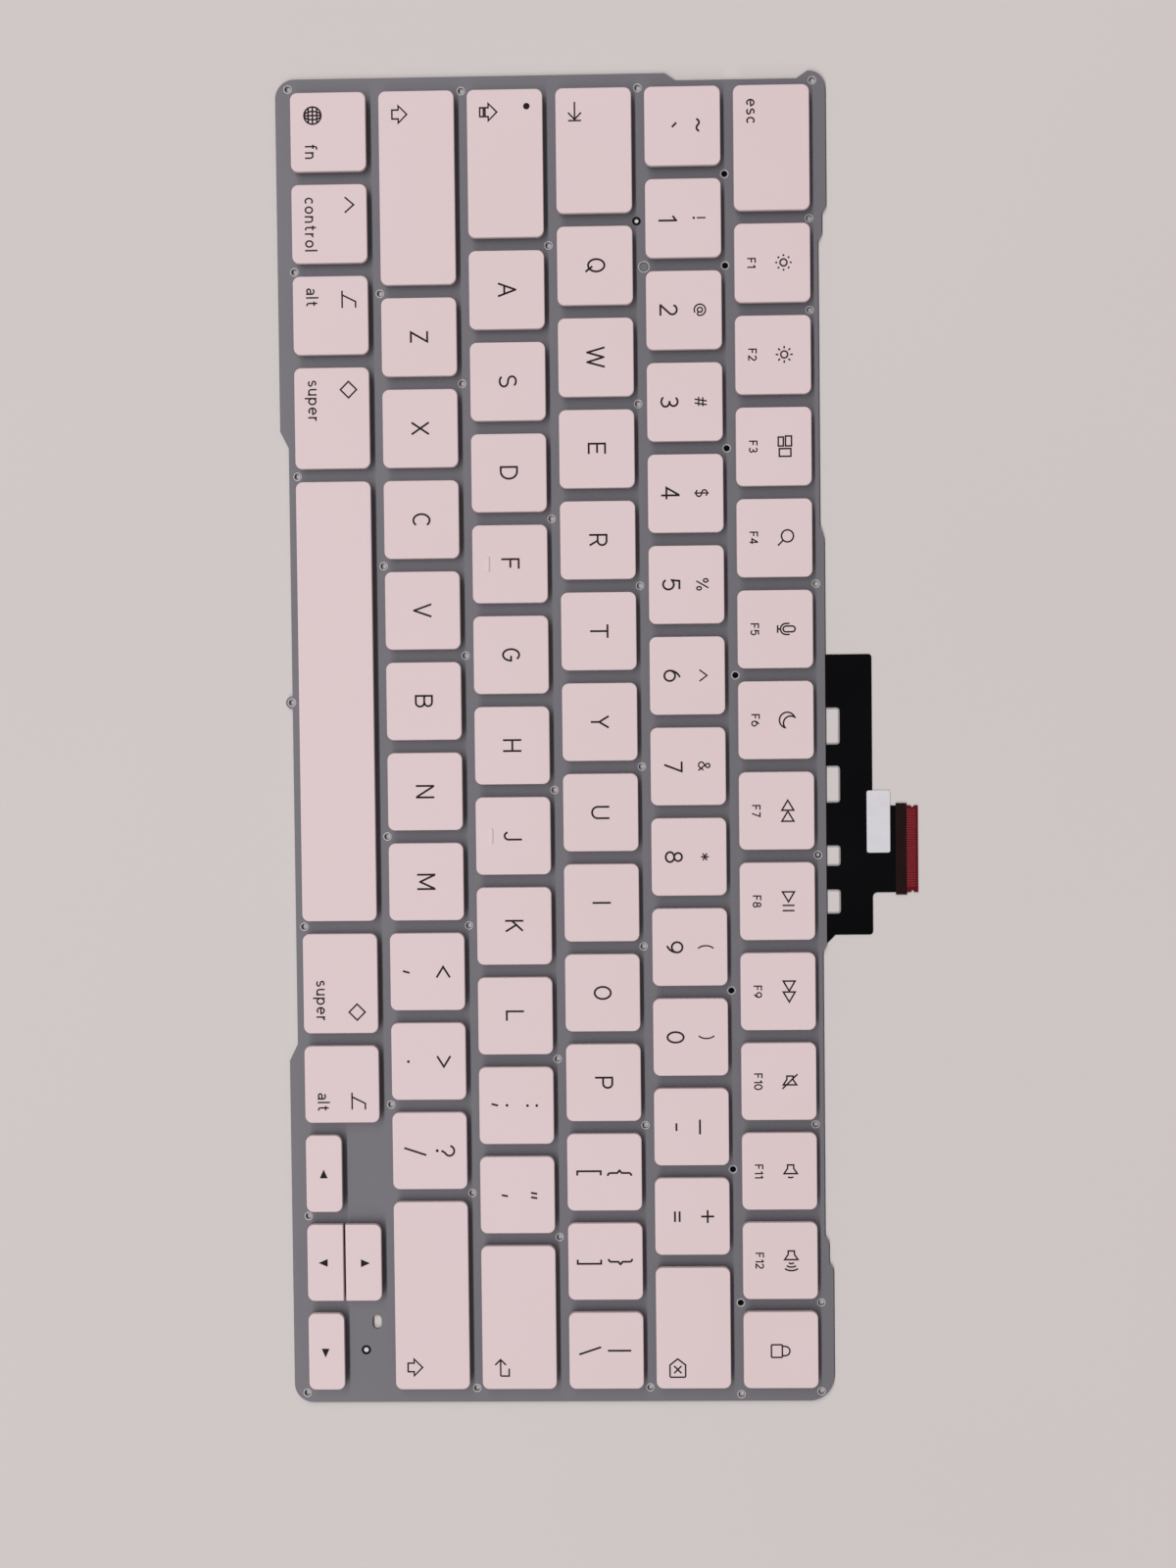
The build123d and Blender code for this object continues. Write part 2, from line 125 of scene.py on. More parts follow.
def add_node(
    tree: bpy.types.NodeTree, kind: str, inputs: dict[str | int, object] | None = None, **settings: object
) -> bpy.types.Node:
    """Add a shader node with its settings, values and links.

    Args:
        tree: The material's node tree.
        kind: Blender's name for the node.
        inputs: Sockets by name or number, each with a value or with the output that feeds it.
        settings: Properties of the node itself.

    Returns:
        The new node.
    """
    node = tree.nodes.new(kind)
    for name, value in settings.items():
        setattr(node, name, value)
    for name, value in (inputs or {}).items():
        if isinstance(value, bpy.types.NodeSocket):
            tree.links.new(value, node.inputs[name])
        else:
            node.inputs[name].default_value = value
    return node


class Grain(Enum):
    """How a surface was made, as the stretch of its grain along X, Y and Z."""

    EVEN = (1.0, 1.0, 1.0)
    ROLLED = (0.2, 1.0, 1.0)
    FIBRED = (0.35, 1.0, 1.0)


@dataclass(frozen=True)
class Finish:
    """One real material: its two tones, its gloss, and a grain and soft drift sized in millimetres."""

    name: str
    colour: str
    tone: str
    roughness: float
    grain_mm: float
    grain_depth_mm: float
    drift_mm: float
    metallic: float = 0.0
    ior: float = 1.5
    specular: float = 0.5
    unevenness: float = 0.05
    grain: Grain = Grain.EVEN

    def material(self) -> bpy.types.Material:
        """Return this finish as a material, made on first use."""
        if self.name in bpy.data.materials:
            return bpy.data.materials[self.name]
        material = bpy.data.materials.new(self.name)
        material.use_nodes = True
        tree = material.node_tree
        shader = tree.nodes["Principled BSDF"]
        shader.inputs["Metallic"].default_value = self.metallic
        shader.inputs["IOR"].default_value = self.ior
        shader.inputs["Specular IOR Level"].default_value = self.specular
        place = add_node(tree, "ShaderNodeTexCoord").outputs["Object"]
        drift = add_node(
            tree, "ShaderNodeTexNoise", {"Vector": place, "Scale": 1 / (self.drift_mm * MM), "Detail": 3.0}
        )
        tones = add_node(tree, "ShaderNodeValToRGB", {"Fac": drift.outputs[0]})
        tones.color_ramp.elements[0].position = 0.3
        tones.color_ramp.elements[0].color = linear(self.tone)
        tones.color_ramp.elements[1].position = 0.7
        tones.color_ramp.elements[1].color = linear(self.colour)
        tree.links.new(tones.outputs["Color"], shader.inputs["Base Color"])
        gloss = add_node(
            tree,
            "ShaderNodeMapRange",
            {
                "Value": drift.outputs[0],
                "From Min": 0.3,
                "From Max": 0.7,
                "To Min": self.roughness - self.unevenness,
                "To Max": self.roughness + self.unevenness,
            },
        )
        tree.links.new(gloss.outputs["Result"], shader.inputs["Roughness"])
        stretched = add_node(tree, "ShaderNodeMapping", {"Vector": place, "Scale": self.grain.value})
        texture = add_node(
            tree,
            "ShaderNodeTexNoise",
            {"Vector": stretched.outputs["Vector"], "Scale": 1 / (self.grain_mm * MM), "Detail": 2.0},
        )
        bump = add_node(
            tree, "ShaderNodeBump", {"Height": texture.outputs[0], "Distance": self.grain_depth_mm * MM}
        )
        tree.links.new(bump.outputs["Normal"], shader.inputs["Normal"])
        return material


# Moulded ABS with a spark-eroded satin skin: soft, even highlights and no sparkle.
# Its grain of about 0.05 mm is drawn at 0.3 mm so that it shows.
CAP_PLASTIC = Finish("satin_moulded_abs", "#ddc7ca", "#dac4c6", 0.52, 0.3, 0.004, 60.0, specular=0.4)
# Screen-printed ink: a flat near-black that is a little duller than the cap.
LEGEND_INK = Finish("screen_printed_ink", "#1b1517", "#221b1d", 0.6, 0.2, 0.002, 3.0, specular=0.08)
# Bead-blasted anodised aluminium: a cool mid grey that takes soft light without mirror glints.
# The blast pits of about 0.08 mm are drawn at 0.35 mm so that they show.
PLATE_METAL = Finish(
    "bead_blasted_anodised_aluminium", "#656369", "#605d64", 0.55, 0.35, 0.004, 45.0, metallic=0.25
)
# Raised aluminium rim of the same sheet round each hole: its bright colour is a painted highlight on the hole's
# edge.
RIM_PAINTED_HIGHLIGHT = Finish("bare_punched_aluminium", "#c9c6c9", "#bcb9bd", 0.48, 0.15, 0.002, 1.5, metallic=0.4)
# Black coated polyester film: near black, with a slight smooth sheen.
CIRCUIT_FILM = Finish(
    "black_coated_polyester_film", "#0a0a0c", "#070709", 0.42, 0.6, 0.004, 18.0, specular=0.02
)
# Bare polyester film: milky grey where the coat stops short of a window.
LEDGE_FILM = Finish("bare_polyester_film", "#a29c9d", "#9a9496", 0.45, 0.4, 0.002, 3.0, specular=0.1)
# Uncoated label paper: matt white with short fibres.
LABEL_PAPER = Finish(
    "uncoated_label_paper", "#d8d4da", "#d3cfd5", 0.82, 0.18, 0.008, 2.5, grain=Grain.FIBRED
)
# Brown polyimide tape: dark, with a faint warm gloss.
BAND_TAPE = Finish("brown_polyimide_tape", "#241615", "#1d1111", 0.38, 0.5, 0.004, 4.0, specular=0.03)
# Red solder resist over a stiffener: deep and glossy.
CONTACT_RESIST = Finish("red_solder_resist", "#651519", "#5b1217", 0.34, 0.3, 0.004, 2.0, specular=0.05)
# Copper fingers under a thin red coat: a little lighter than the strip between them.
FINGER_METAL = Finish("coated_copper", "#842a32", "#7a252c", 0.4, 0.1, 0.002, 1.0, specular=0.1)
# Natural moulded nylon: the pale, matt end of a locating pin.
PIN_NYLON = Finish("natural_moulded_nylon", "#d8d3d5", "#d0cbcd", 0.5, 0.2, 0.002, 1.0)
# Black rubber: matt and dense, so the bush reads as a dark ring.
BUSH_RUBBER = Finish("black_bush_rubber", "#0f0e10", "#0b0a0c", 0.7, 0.2, 0.003, 1.0, specular=0.1)
# Silicone rubber: milky and matt, with a soft skin.
DOME_RUBBER = Finish("moulded_silicone", "#bdb8b4", "#b3aeaa", 0.62, 0.25, 0.003, 2.0, ior=1.43)
# Glass-filled nylon: dark grey, dry and slightly mottled by its fibres.
FRAME_NYLON = Finish("glass_filled_nylon", "#4a474b", "#413e43", 0.58, 0.2, 0.005, 3.0, grain=Grain.FIBRED)
# Drawn spring steel: bright, with fine marks along the wire.
WIRE_STEEL = Finish(
    "drawn_spring_steel", "#bcbcc0", "#a9a9ae", 0.32, 0.12, 0.003, 2.0, metallic=1.0, grain=Grain.ROLLED
)
# Painted table top: pale warm grey, matt, with a barely seen roller stipple.
TABLE_PAINT = Finish("roller_painted_board", "#d3cbc9", "#d0c8c6", 0.7, 0.8, 0.004, 220.0, specular=0.25)


def rounded_outline(
    width: float, depth: float, radius: float, square_side: int = 0, steps: int = 7
) -> Outline:
    """Return a rectangle with rounded corners, anticlockwise about the origin.

    Args:
        width: Size along X.
        depth: Size along Y.
        radius: Corner radius.
        square_side: +1 leaves the back corners nearly square, -1 the front ones.
        steps: Segments in each corner.

    Returns:
        The points of the outline, as many for any size.
    """
    points = []
    for turn, (side_x, side_y) in enumerate([(1, 1), (-1, 1), (-1, -1), (1, -1)]):
        bend = radius * SQUARE_SHARE if side_y == square_side else radius
        centre = Vector((side_x * (width / 2 - bend), side_y * (depth / 2 - bend)))
        for step in range(steps + 1):
            angle = pi / 2 * (turn + step / steps)
            points.append(centre + bend * Vector((cos(angle), sin(angle))))
    return points


def circle(radius: float, steps: int, centre: Vector = Vector((0, 0))) -> Outline:
    """Return points round a circle, anticlockwise."""
    angles = [2 * pi * step / steps for step in range(steps)]
    return [centre + radius * Vector((cos(angle), sin(angle))) for angle in angles]


class Shell:
    """A mesh under construction, in millimetres, that becomes one piece of the scene."""

    MITRE_LIMIT = 0.45

    def __init__(self) -> None:
        """Start an empty mesh."""
        self.mesh = bmesh.new()

    def ring(self, outline: Outline, height: float) -> list[bmesh.types.BMVert]:
        """Add the points of an outline at one height."""
        return [self.mesh.verts.new((point.x, point.y, height)) for point in outline]

    def skin(self, lower: list[bmesh.types.BMVert], upper: list[bmesh.types.BMVert]) -> None:
        """Join two closed rings of equal length by a band of faces."""
        for i, corner in enumerate(lower):
            self.mesh.faces.new((lower[i - 1], corner, upper[i], upper[i - 1]))

    def loft(self, sections: list[tuple[Outline, float]], closed: bool = False) -> list[bmesh.types.BMVert]:
        """Skin a stack of outlines, and cap its two ends or join them to each other.

        Args:
            sections: Each outline with its height, in order.
            closed: Whether the last section joins the first, as round a tube.

        Returns:
            All the points that were added.
        """
        rings = [self.ring(outline, height) for outline, height in sections]
        for lower, upper in zip(rings, rings[1:]):
            self.skin(lower, upper)
        if closed:
            self.skin(rings[-1], rings[0])
        else:
            self.mesh.faces.new(rings[0])
            self.mesh.faces.new(rings[-1])
        return [vertex for ring in rings for vertex in ring]

    def place(self, points: list[bmesh.types.BMVert], matrix: Matrix) -> None:
        """Move some of the points by a matrix."""
        bmesh.ops.transform(self.mesh, matrix=matrix, verts=points)

    def ribbon(self, path: Outline, width: float, low: float, high: float, closed: bool) -> None:
        """Lay a flat stroke with mitred corners along a path.

        Args:
            path: Points along the middle of the stroke.
            width: Width of the stroke.
            low: Height of its underside.
            high: Height of its face.
            closed: Whether the stroke runs back to its start.
        """
        sections = []
        last = len(path) - 1
        for i, point in enumerate(path):
            ways = []
            if i > 0 or closed:
                ways.append((point - path[i - 1]).normalized())
            if i < last or closed:
                ways.append((path[(i + 1) % len(path)] - point).normalized())
            way = (ways[0] + ways[-1]).normalized()
            reach = width / 2 / max(way.dot(ways[0]), self.MITRE_LIMIT)
            offset = reach * Vector((-way.y, way.x))
            left, right = point + offset, point - offset
            corners = [(left, low), (right, low), (right, high), (left, high)]
            sections.append([self.mesh.verts.new((*corner, height)) for corner, height in corners])
        for near, far in zip(sections, sections[1:]):
            self.skin(near, far)
        if closed:
            self.skin(sections[-1], sections[0])
        else:
            self.mesh.faces.new(sections[0])
            self.mesh.faces.new(sections[-1])

    def piece(self, name: str, finish: Finish, smooth_degrees: float = 40.0) -> bpy.types.Object:
        """Close the mesh and put it in the scene as one object.

        Args:
            name: The piece's name.
            finish: What it is made of.
            smooth_degrees: Edges that turn by more than this stay sharp.

        Returns:
            The new object, in metres.
        """
        bmesh.ops.recalc_face_normals(self.mesh, faces=self.mesh.faces)
        bmesh.ops.scale(self.mesh, vec=(MM, MM, MM), verts=self.mesh.verts)
        data = bpy.data.meshes.new(name)
        self.mesh.to_mesh(data)
        self.mesh.free()
        data.polygons.foreach_set("use_smooth", [True] * len(data.polygons))
        data.set_sharp_from_angle(angle=radians(smooth_degrees))
        data.materials.append(finish.material())
        item = bpy.data.objects.new(name, data)
        bpy.context.scene.collection.objects.link(item)
        return item


def install(item: bpy.types.Object, body: str, slot: str, *nodes: str) -> bpy.types.Object:
    """Hang a piece on its body, hide the solids that it stands for, and report it.

    Args:
        item: The piece.
        body: The body that it moves with.
        slot: The record's material slot; not used.
        nodes: Solids that it replaces.

    Returns:
        The piece.
    """
    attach(item, body)
    if nodes:
        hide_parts(*nodes)
    LOG.info("%s rides on %s, %d faces", item.name, body, len(item.data.polygons))
    return item


@dataclass(frozen=True)
class Stroke:
    """One line of a sign: its path, and whether it closes or is filled."""

    SHARP = radians(53)
    path: Outline
    closed: bool = False
    filled: bool = False

    def parts(self, width: float) -> list[Stroke]:
        """Part an open stroke at its sharp turns, with a round dot of the pen's width at each.

        Args:
            width: Width of the pen.

        Returns:
            The parts, or only the stroke itself if it is closed.
        """
        if self.closed:
            return [self]
        found = []
        run = self.path[:1]
        for before, corner, after in zip(self.path, self.path[1:], self.path[2:]):
            run.append(corner)
            if (before - corner).angle(after - corner) < self.SHARP:
                found += [Stroke(run), Stroke(circle(width / 2, 16, corner), True, True)]
                run = [corner]
        return [*found, Stroke(run + self.path[-1:])]


def read_strokes(notation: str) -> list[Stroke]:
    """Read the pen notation that the signs are drawn in.

    "x,y" goes to a point, "@x,y,rx,ry,from,to" follows an arc round a centre, "z" closes the stroke, "f"
    closes and fills it, and "|" lifts the pen. Angles are in degrees, anticlockwise from the right.

    Args:
        notation: The strokes of one sign.

    Returns:
        The strokes, in the notation's own units.
    """
    strokes = []
    for line in notation.split("|"):
        path: Outline = []
        words = line.split()
        for word in words:
            if word in ("z", "f"):
                continue
            numbers = [float(text) for text in word.lstrip("@").split(",")]
            targets = [Vector(numbers)] if word[0] != "@" else arc(*numbers)
            for target in targets:
                if not path or (target - path[-1]).length > SAME_POINT:
                    path.append(target)
        closed = words[-1] in ("z", "f")
        if closed and (path[-1] - path[0]).length < SAME_POINT:
            path.pop()
        strokes.append(Stroke(path, closed, words[-1] == "f"))
    return strokes


def arc(x: float, y: float, radius_x: float, radius_y: float, start: float, end: float) -> Outline:
    """Return points along an elliptical arc, one for about every twelve degrees."""
    steps = max(2, round(abs(end - start) / 12))
    angles = [radians(start + (end - start) * step / steps) for step in range(steps + 1)]
    return [Vector((x + radius_x * cos(angle), y + radius_y * sin(angle))) for angle in angles]


def turned(notation: str, count: int, radius: float) -> str:
    """Repeat a dot or ray round a circle.

    Args:
        notation: "dot" or "ray".
        count: How many.
        radius: Distance of the sign's middle from the centre.

    Returns:
        The pen notation of all of them.
    """
    marks = []
    for way in circle(1.0, count):
        spot = radius * way
        if notation == "dot":
            marks.append(f"@{spot.x},{spot.y},{DOT_RADIUS},{DOT_RADIUS},0,360 f")
        else:
            inner = spot - RAY_HALF * way
            outer = spot + RAY_HALF * way
            marks.append(f"{inner.x},{inner.y} {outer.x},{outer.y}")
    return " | ".join(marks)


def waves(radii: tuple[float, ...]) -> str:
    """Return the pen notation of sound waves to the right of a loudspeaker."""
    return "".join(f" | @1.7,0,{radius},{radius},34,-34" for radius in radii)


SPEAKER = "0,.65 .75,.65 1.85,1.4 1.85,-1.4 .75,-.65 0,-.65 z"
ARROW_HEAD = "0,0 1.78,1.78 3.56,0 2.7,0 2.7,{0} .86,{0} .86,0 z"


class Icon(Enum):
    """Signs drawn at their real size, in millimetres."""

    TAB = "0,0 3.6,0 | 2.2,1.35 3.6,0 2.2,-1.35 | 3.85,1.35 3.85,-1.35"
    CAPS_LOCK = ARROW_HEAD.format(-0.65) + " | .86,-1 2.7,-1 2.7,-1.75 .86,-1.75 z"
    SHIFT = ARROW_HEAD.format(-1.3)
    RETURN = "0,0 3.3,0 @3.3,.2,.2,.2,270,360 3.5,1.8 1.9,1.8 | 1.15,1.15 0,0 1.15,-1.15"
    DELETE = (
        "0,0 1.3,1.65 3.6,1.65 @3.6,1.35,.3,.3,90,0 3.9,-1.35 @3.6,-1.35,.3,.3,0,-90 1.3,-1.65 z"
        " | 1.5,.77 3.05,-.77 | 1.5,-.77 3.05,.77"
    )
    LOCK = (
        "@2.5,.2,.2,.2,-90,0 @2.5,2.1,.2,.2,0,90 @.2,2.1,.2,.2,90,180 @.2,.2,.2,.2,180,270 z"
        " | .35,2.3 .35,2.85 @1.35,2.85,1,1.05,180,0 2.35,2.3"
    )
    GLOBE = (
        "@0,0,1.78,1.78,0,360 z | @0,0,.85,1.78,0,360 z | 0,1.78 0,-1.78 | -1.78,0 1.78,0"
        " | -1.54,.89 1.54,.89 | -1.54,-.89 1.54,-.89"
    )
    CHEVRON = "-1.6,0 0,1.85 1.6,0"
    ALTERNATE = "0,0 3.6,0 | .9,0 2.3,2.8 3.6,2.8"
    DIAMOND = "0,1.7 1.7,3.4 3.4,1.7 1.7,0 z"
    DIM = "@0,0,.72,.72,0,360 z | " + turned("dot", 8, 1.5)
    BRIGHT = "@0,0,.72,.72,0,360 z | " + turned("ray", 8, 1.5)
    TILES = (
        "0,1.5 2.05,1.5 2.05,2.75 0,2.75 z | .2,0 2.05,0 2.05,1.05 .2,1.05 z"
        " | 2.6,.2 4.2,.2 4.2,2.6 2.6,2.6 z"
    )
    SEARCH = "@0,0,1.25,1.25,0,360 z | .9,-.9 2,-2"
    MICROPHONE = (
        "@0,.75,.6,.6,180,0 @0,-.55,.6,.6,0,-180 z | -1.15,.2 -1.15,-.55 @0,-.55,1.15,1.15,180,360 1.15,.2"
        " | 0,-1.7 0,-2.3 | -.8,-2.3 .8,-2.3"
    )
    MOON = "@0,0,1.65,1.65,110,343 @.64,.68,1.49,1.49,-51,-216 z"
    REWIND = "0,0 2.1,1.25 2.1,-1.25 z | 2.3,0 4.4,1.25 4.4,-1.25 z"
    PLAY = "0,1.25 2.1,0 0,-1.25 z | 2.85,1.25 2.85,-1.25 | 3.95,1.25 3.95,-1.25"
    FORWARD = "0,1.25 2.1,0 0,-1.25 z | 2.3,1.25 4.4,0 2.3,-1.25 z"
    MUTE = SPEAKER + " | -.4,1.6 2.7,-1.6"
    SOFTER = SPEAKER + waves((1.0,))
    LOUDER = SPEAKER + waves((1.0, 1.75, 2.5))
    LEFT = "0,0 1.9,.84 1.9,-.84 f"
    RIGHT = "0,.84 1.9,0 0,-.84 f"
    UP = "-.84,0 .84,0 0,1.95 f"
    DOWN = "-.84,1.95 0,0 .84,1.95 f"
    LAMP = "@0,0,.68,.68,0,360 f"


# Letters, digits and points in pen notation; the ink of a capital is ten units high
SIGNS = {
    "A": ".5,0 3.95,9.45 7.4,0 | 1.75,3.4 6.15,3.4",
    "B": ".6,5.2 4,5.2 @4,7.3,2.2,2.1,-90,90 .6,9.4 .6,.6 4.2,.6 @4.2,2.9,2.2,2.3,-90,90 4,5.2",
    "C": "@3.95,5,3.35,4.4,42,318",
    "D": ".6,.6 .6,9.4 3,9.4 @3,5,3.9,4.4,90,-90 z",
    "E": "6.1,9.4 .6,9.4 .6,.6 6.1,.6 | .6,5.1 5.6,5.1",
    "F": "5.8,9.4 .6,9.4 .6,0 | .6,4.9 5.2,4.9",
    "G": "@3.7,5,3.1,4.4,45,360 4.2,5",
    "H": ".6,0 .6,10 | 6.5,0 6.5,10 | .6,5.1 6.5,5.1",
    "I": ".6,0 .6,10",
    "J": "4.7,10 4.7,2.8 @2.7,2.8,2,2.2,0,-165",
    "K": ".6,0 .6,10 | 6.1,9.6 .6,3.7 | 2.8,6.1 6.4,.3",
    "L": ".6,10 .6,.6 5.7,.6",
    "M": ".6,0 .6,10 | .8,9.5 4.5,1.6 8.2,9.5 | 8.4,0 8.4,10",
    "N": ".6,0 .6,10 | .9,9.5 6.5,.5 | 6.8,0 6.8,10",
    "O": "@3.9,5,3.3,4.4,0,360 z",
    "P": ".6,0 .6,9.4 3.9,9.4 @3.9,6.9,2.3,2.5,90,-90 .6,4.4",
    "Q": "@3.9,5,3.3,4.4,0,360 z | 4.4,2.9 7.3,-.8",
    "R": ".6,0 .6,9.4 3.8,9.4 @3.8,7,2.3,2.4,90,-90 .6,4.6 | 3.7,4.6 6.2,.2",
    "S": "@3.4,7.25,2.6,2.15,30,270 @3.4,2.85,2.8,2.25,90,-150",
    "T": "0,9.4 7.3,9.4 | 3.65,9.4 3.65,0",
    "U": ".6,10 .6,3.7 @3.7,3.7,3.1,3.1,180,360 6.8,10",
    "V": ".5,10 3.85,.55 7.2,10",
    "W": ".5,10 3.1,.55 5.7,9.4 8.3,.55 10.9,10",
    "X": ".5,.3 6.9,9.7 | .5,9.7 6.9,.3",
    "Y": ".5,9.7 3.65,4.5 6.8,9.7 | 3.65,4.5 3.65,0",
    "Z": ".4,9.4 6,9.4 .9,.6 6.5,.6",
    "0": "@3.45,5,2.85,4.4,0,360 z",
    "1": "2.8,0 2.8,10 | .3,7.6 2.7,9.4",
    "2": "@3.1,7,2.5,2.4,165,-38 .5,.6 6.2,.6",
    "3": "@3,7.2,2.4,2.2,150,-90 @3,2.8,2.7,2.2,90,-150",
    "4": "5,0 5,10 | 4.8,9.6 .9,2.9 7.1,2.9",
    "5": "5.8,9.4 1.3,9.4 .9,5.4 @3.2,3.5,2.7,2.9,130,-150",
    "6": "@3.4,3.5,2.8,2.9,0,360 z | @6.4,3.6,5.8,5.8,180,112",
    "7": "0,9.4 5.3,9.4 1.7,0",
    "8": "@3.3,7.3,2.2,2.1,0,360 z | @3.3,2.9,2.7,2.3,0,360 z",
    "9": "@3.4,6.5,2.8,2.9,0,360 z | @.4,6.4,5.8,5.8,0,-68",
    "!": "0,10 0,3.2 | @0,.9,.95,.95,0,360 f",
    "@": "@4.9,5,1.75,1.95,0,360 z | 6.65,6.8 6.65,4.2 @7.95,4.3,1.3,1.2,190,350 @4.95,5,4.3,4.35,0,300",
    "#": "1.7,.3 3.2,9.7 | 4.6,.3 6.1,9.7 | .3,6.6 7.2,6.6 | 0,3.4 6.9,3.4",
    "$": "@3.2,7.2,2.4,2.1,30,270 @3.2,2.9,2.6,2.2,90,-150 | 3.2,-.6 3.2,10.6",
    "%": "@1.9,7.6,1.3,1.75,0,360 z | @7.9,2.4,1.3,1.75,0,360 z | 7.6,9.7 2.2,.3",
    "^": "0,3.8 4.4,9.6 8.8,3.8",
    "&": "7.2,.4 2.3,6.6 @3.4,7.75,1.6,1.6,220,-35 @2.95,2.75,2.3,2.1,115,310 6.9,4.4",
    "*": "2.9,3.8 2.9,10 | .2,5.35 5.6,8.45 | .2,8.45 5.6,5.35",
    "(": "@5.5,5,5,7.4,125,235",
    ")": "@-2.5,5,5,7.4,55,-55",
    "_": "0,0 8,0",
    "+": "0,5 7,5 | 3.5,1.5 3.5,8.5",
    "-": "0,5 4.2,5",
    "=": "0,3.75 5.8,3.75 | 0,6.25 5.8,6.25",
    "[": "2.8,11.2 .5,11.2 .5,-1.6 2.8,-1.6",
    "]": ".3,11.2 2.6,11.2 2.6,-1.6 .3,-1.6",
    "{": "3.4,11.2 @3.2,9.8,1.4,1.4,90,180 1.8,6 .4,4.8 1.8,3.6 @3.2,-.2,1.4,1.4,180,270 3.4,-1.6",
    "}": ".2,11.2 @.4,9.8,1.4,1.4,90,0 1.8,6 3.2,4.8 1.8,3.6 @.4,-.2,1.4,1.4,0,-90 .2,-1.6",
    "|": "0,-1.6 0,11.2",
    "\\": "0,11 4,-1",
    "/": "0,-1 4,11",
    ":": "@0,.8,.75,.75,0,360 f | @0,5.8,.75,.75,0,360 f",
    ";": "@1,6.2,.75,.75,0,360 f | 1.1,1.4 .2,-2.2",
    '"': ".6,10 0,6.6 | 3,10 2.4,6.6",
    "'": ".6,10 0,6.6",
    "<": "5.8,8.6 0,5 5.8,1.4",
    ">": "0,8.6 5.8,5 0,1.4",
    ",": "1,1.6 0,-2",
    ".": "@0,.8,.75,.75,0,360 f",
    "?": "@2.9,7.4,2.7,2.6,170,-65 2.8,3 | @2.8,.7,.8,.8,0,360 f",
    "~": "@1.7,4.6,1.7,1.5,180,35 @4.5,6.3,1.7,1.5,215,360",
    "`": "0,9.8 2.4,7.4",
    "a": "@2.8,4.55,2,1.8,150,0 4.8,0 | 4.8,3.75 2.5,3.6 @2.4,2.15,1.75,1.45,90,280 4.8,1.9",
    "c": "@3,3.5,2.35,2.8,45,315",
    "e": ".65,3.6 5.35,3.6 @3,3.5,2.35,2.8,2,312",
    "f": "3.4,9.4 @3.1,7.9,1.6,1.5,75,180 1.5,0 | 0,6.4 3.2,6.4",
    "l": ".7,0 .7,10",
    "n": ".7,0 .7,7 | .7,4.2 @2.8,4.2,2.1,2.1,180,0 4.9,0",
    "o": "@3.1,3.5,2.4,2.8,0,360 z",
    "p": ".7,-2.6 .7,7 | @3.1,3.5,2.4,2.8,0,360 z",
    "r": ".7,0 .7,7 | .7,3.9 @2.9,4,2.2,2.3,180,80",
    "s": "@2.5,4.95,1.75,1.4,35,270 @2.5,2.1,1.95,1.4,90,-150",
    "t": "1.5,9 1.5,2.2 @2.9,2.1,1.4,1.4,180,270 3.7,.7 | 0,6.4 3.5,6.4",
    "u": ".7,7 .7,2.8 @2.8,2.8,2.1,2.1,180,360 | 4.9,7 4.9,0",
}


class Lettering(Enum):
    """The print sizes in millimetres: height of a capital, stroke, and space from stroke to stroke."""

    LETTER = (3.87, 0.41, 0.75)
    SYMBOL = (2.7, 0.3, 0.6)
    POINT = (3.9, 0.41, 0.75)
    WORD = (2.6, 0.32, 0.76)
    SMALL = (1.75, 0.28, 0.46)
    DRAWN = (10.0, 0.33, 0.0)


@dataclass(frozen=True)
class Mark:
    """One sign or word on a cap, and the place of its middle from the middle of the cap."""

    sign: str | Icon
    x: float = 0.0
    y: float = 0.0
    size: Lettering = Lettering.LETTER

    @property
    def pen(self) -> Lettering:
        """The print size, which for an icon is its own."""
        return Lettering.DRAWN if isinstance(self.sign, Icon) else self.size

    def strokes(self) -> list[Stroke]:
        """Return the strokes at their real size and place on the cap."""
        height, _, space = self.pen.value
        unit = height / 10
        strokes: list[Stroke] = []
        reach = 0.0
        is_icon = isinstance(self.sign, Icon)
        for notation in [self.sign.value] if is_icon else [SIGNS[letter] for letter in self.sign]:
            drawn = read_strokes(notation)
            left = min(point.x for stroke in drawn for point in stroke.path)
            shift = Vector((reach - left, 0))
            moved = [Stroke([point + shift for point in s.path], s.closed, s.filled) for s in drawn]
            strokes += moved
            reach = space / unit + max(point.x for stroke in moved for point in stroke.path)
        points = [point for stroke in strokes for point in stroke.path]
        middle = Vector([(min(axis) + max(axis)) / 2 for axis in zip(*points)])
        spot = Vector((self.x, self.y))
        return [Stroke([spot + unit * (p - middle) for p in s.path], s.closed, s.filled) for s in strokes]


@dataclass(frozen=True)
class Key:
    """One key: its name, row and cap, in millimetres from the module's middle."""

    name: str
    row: int
    units: float
    x: float
    y: float
    width: float
    depth: float
    square_side: int = 0

    @property
    def body(self) -> str:
        """The body that the cap rides on."""
        return f"key_{self.name}" if self.row >= KeyField.FIRST_MOVING_ROW else ROOT

    @property
    def joint(self) -> str:
        """The joint that the key travels on."""
        return f"{self.name}_press"


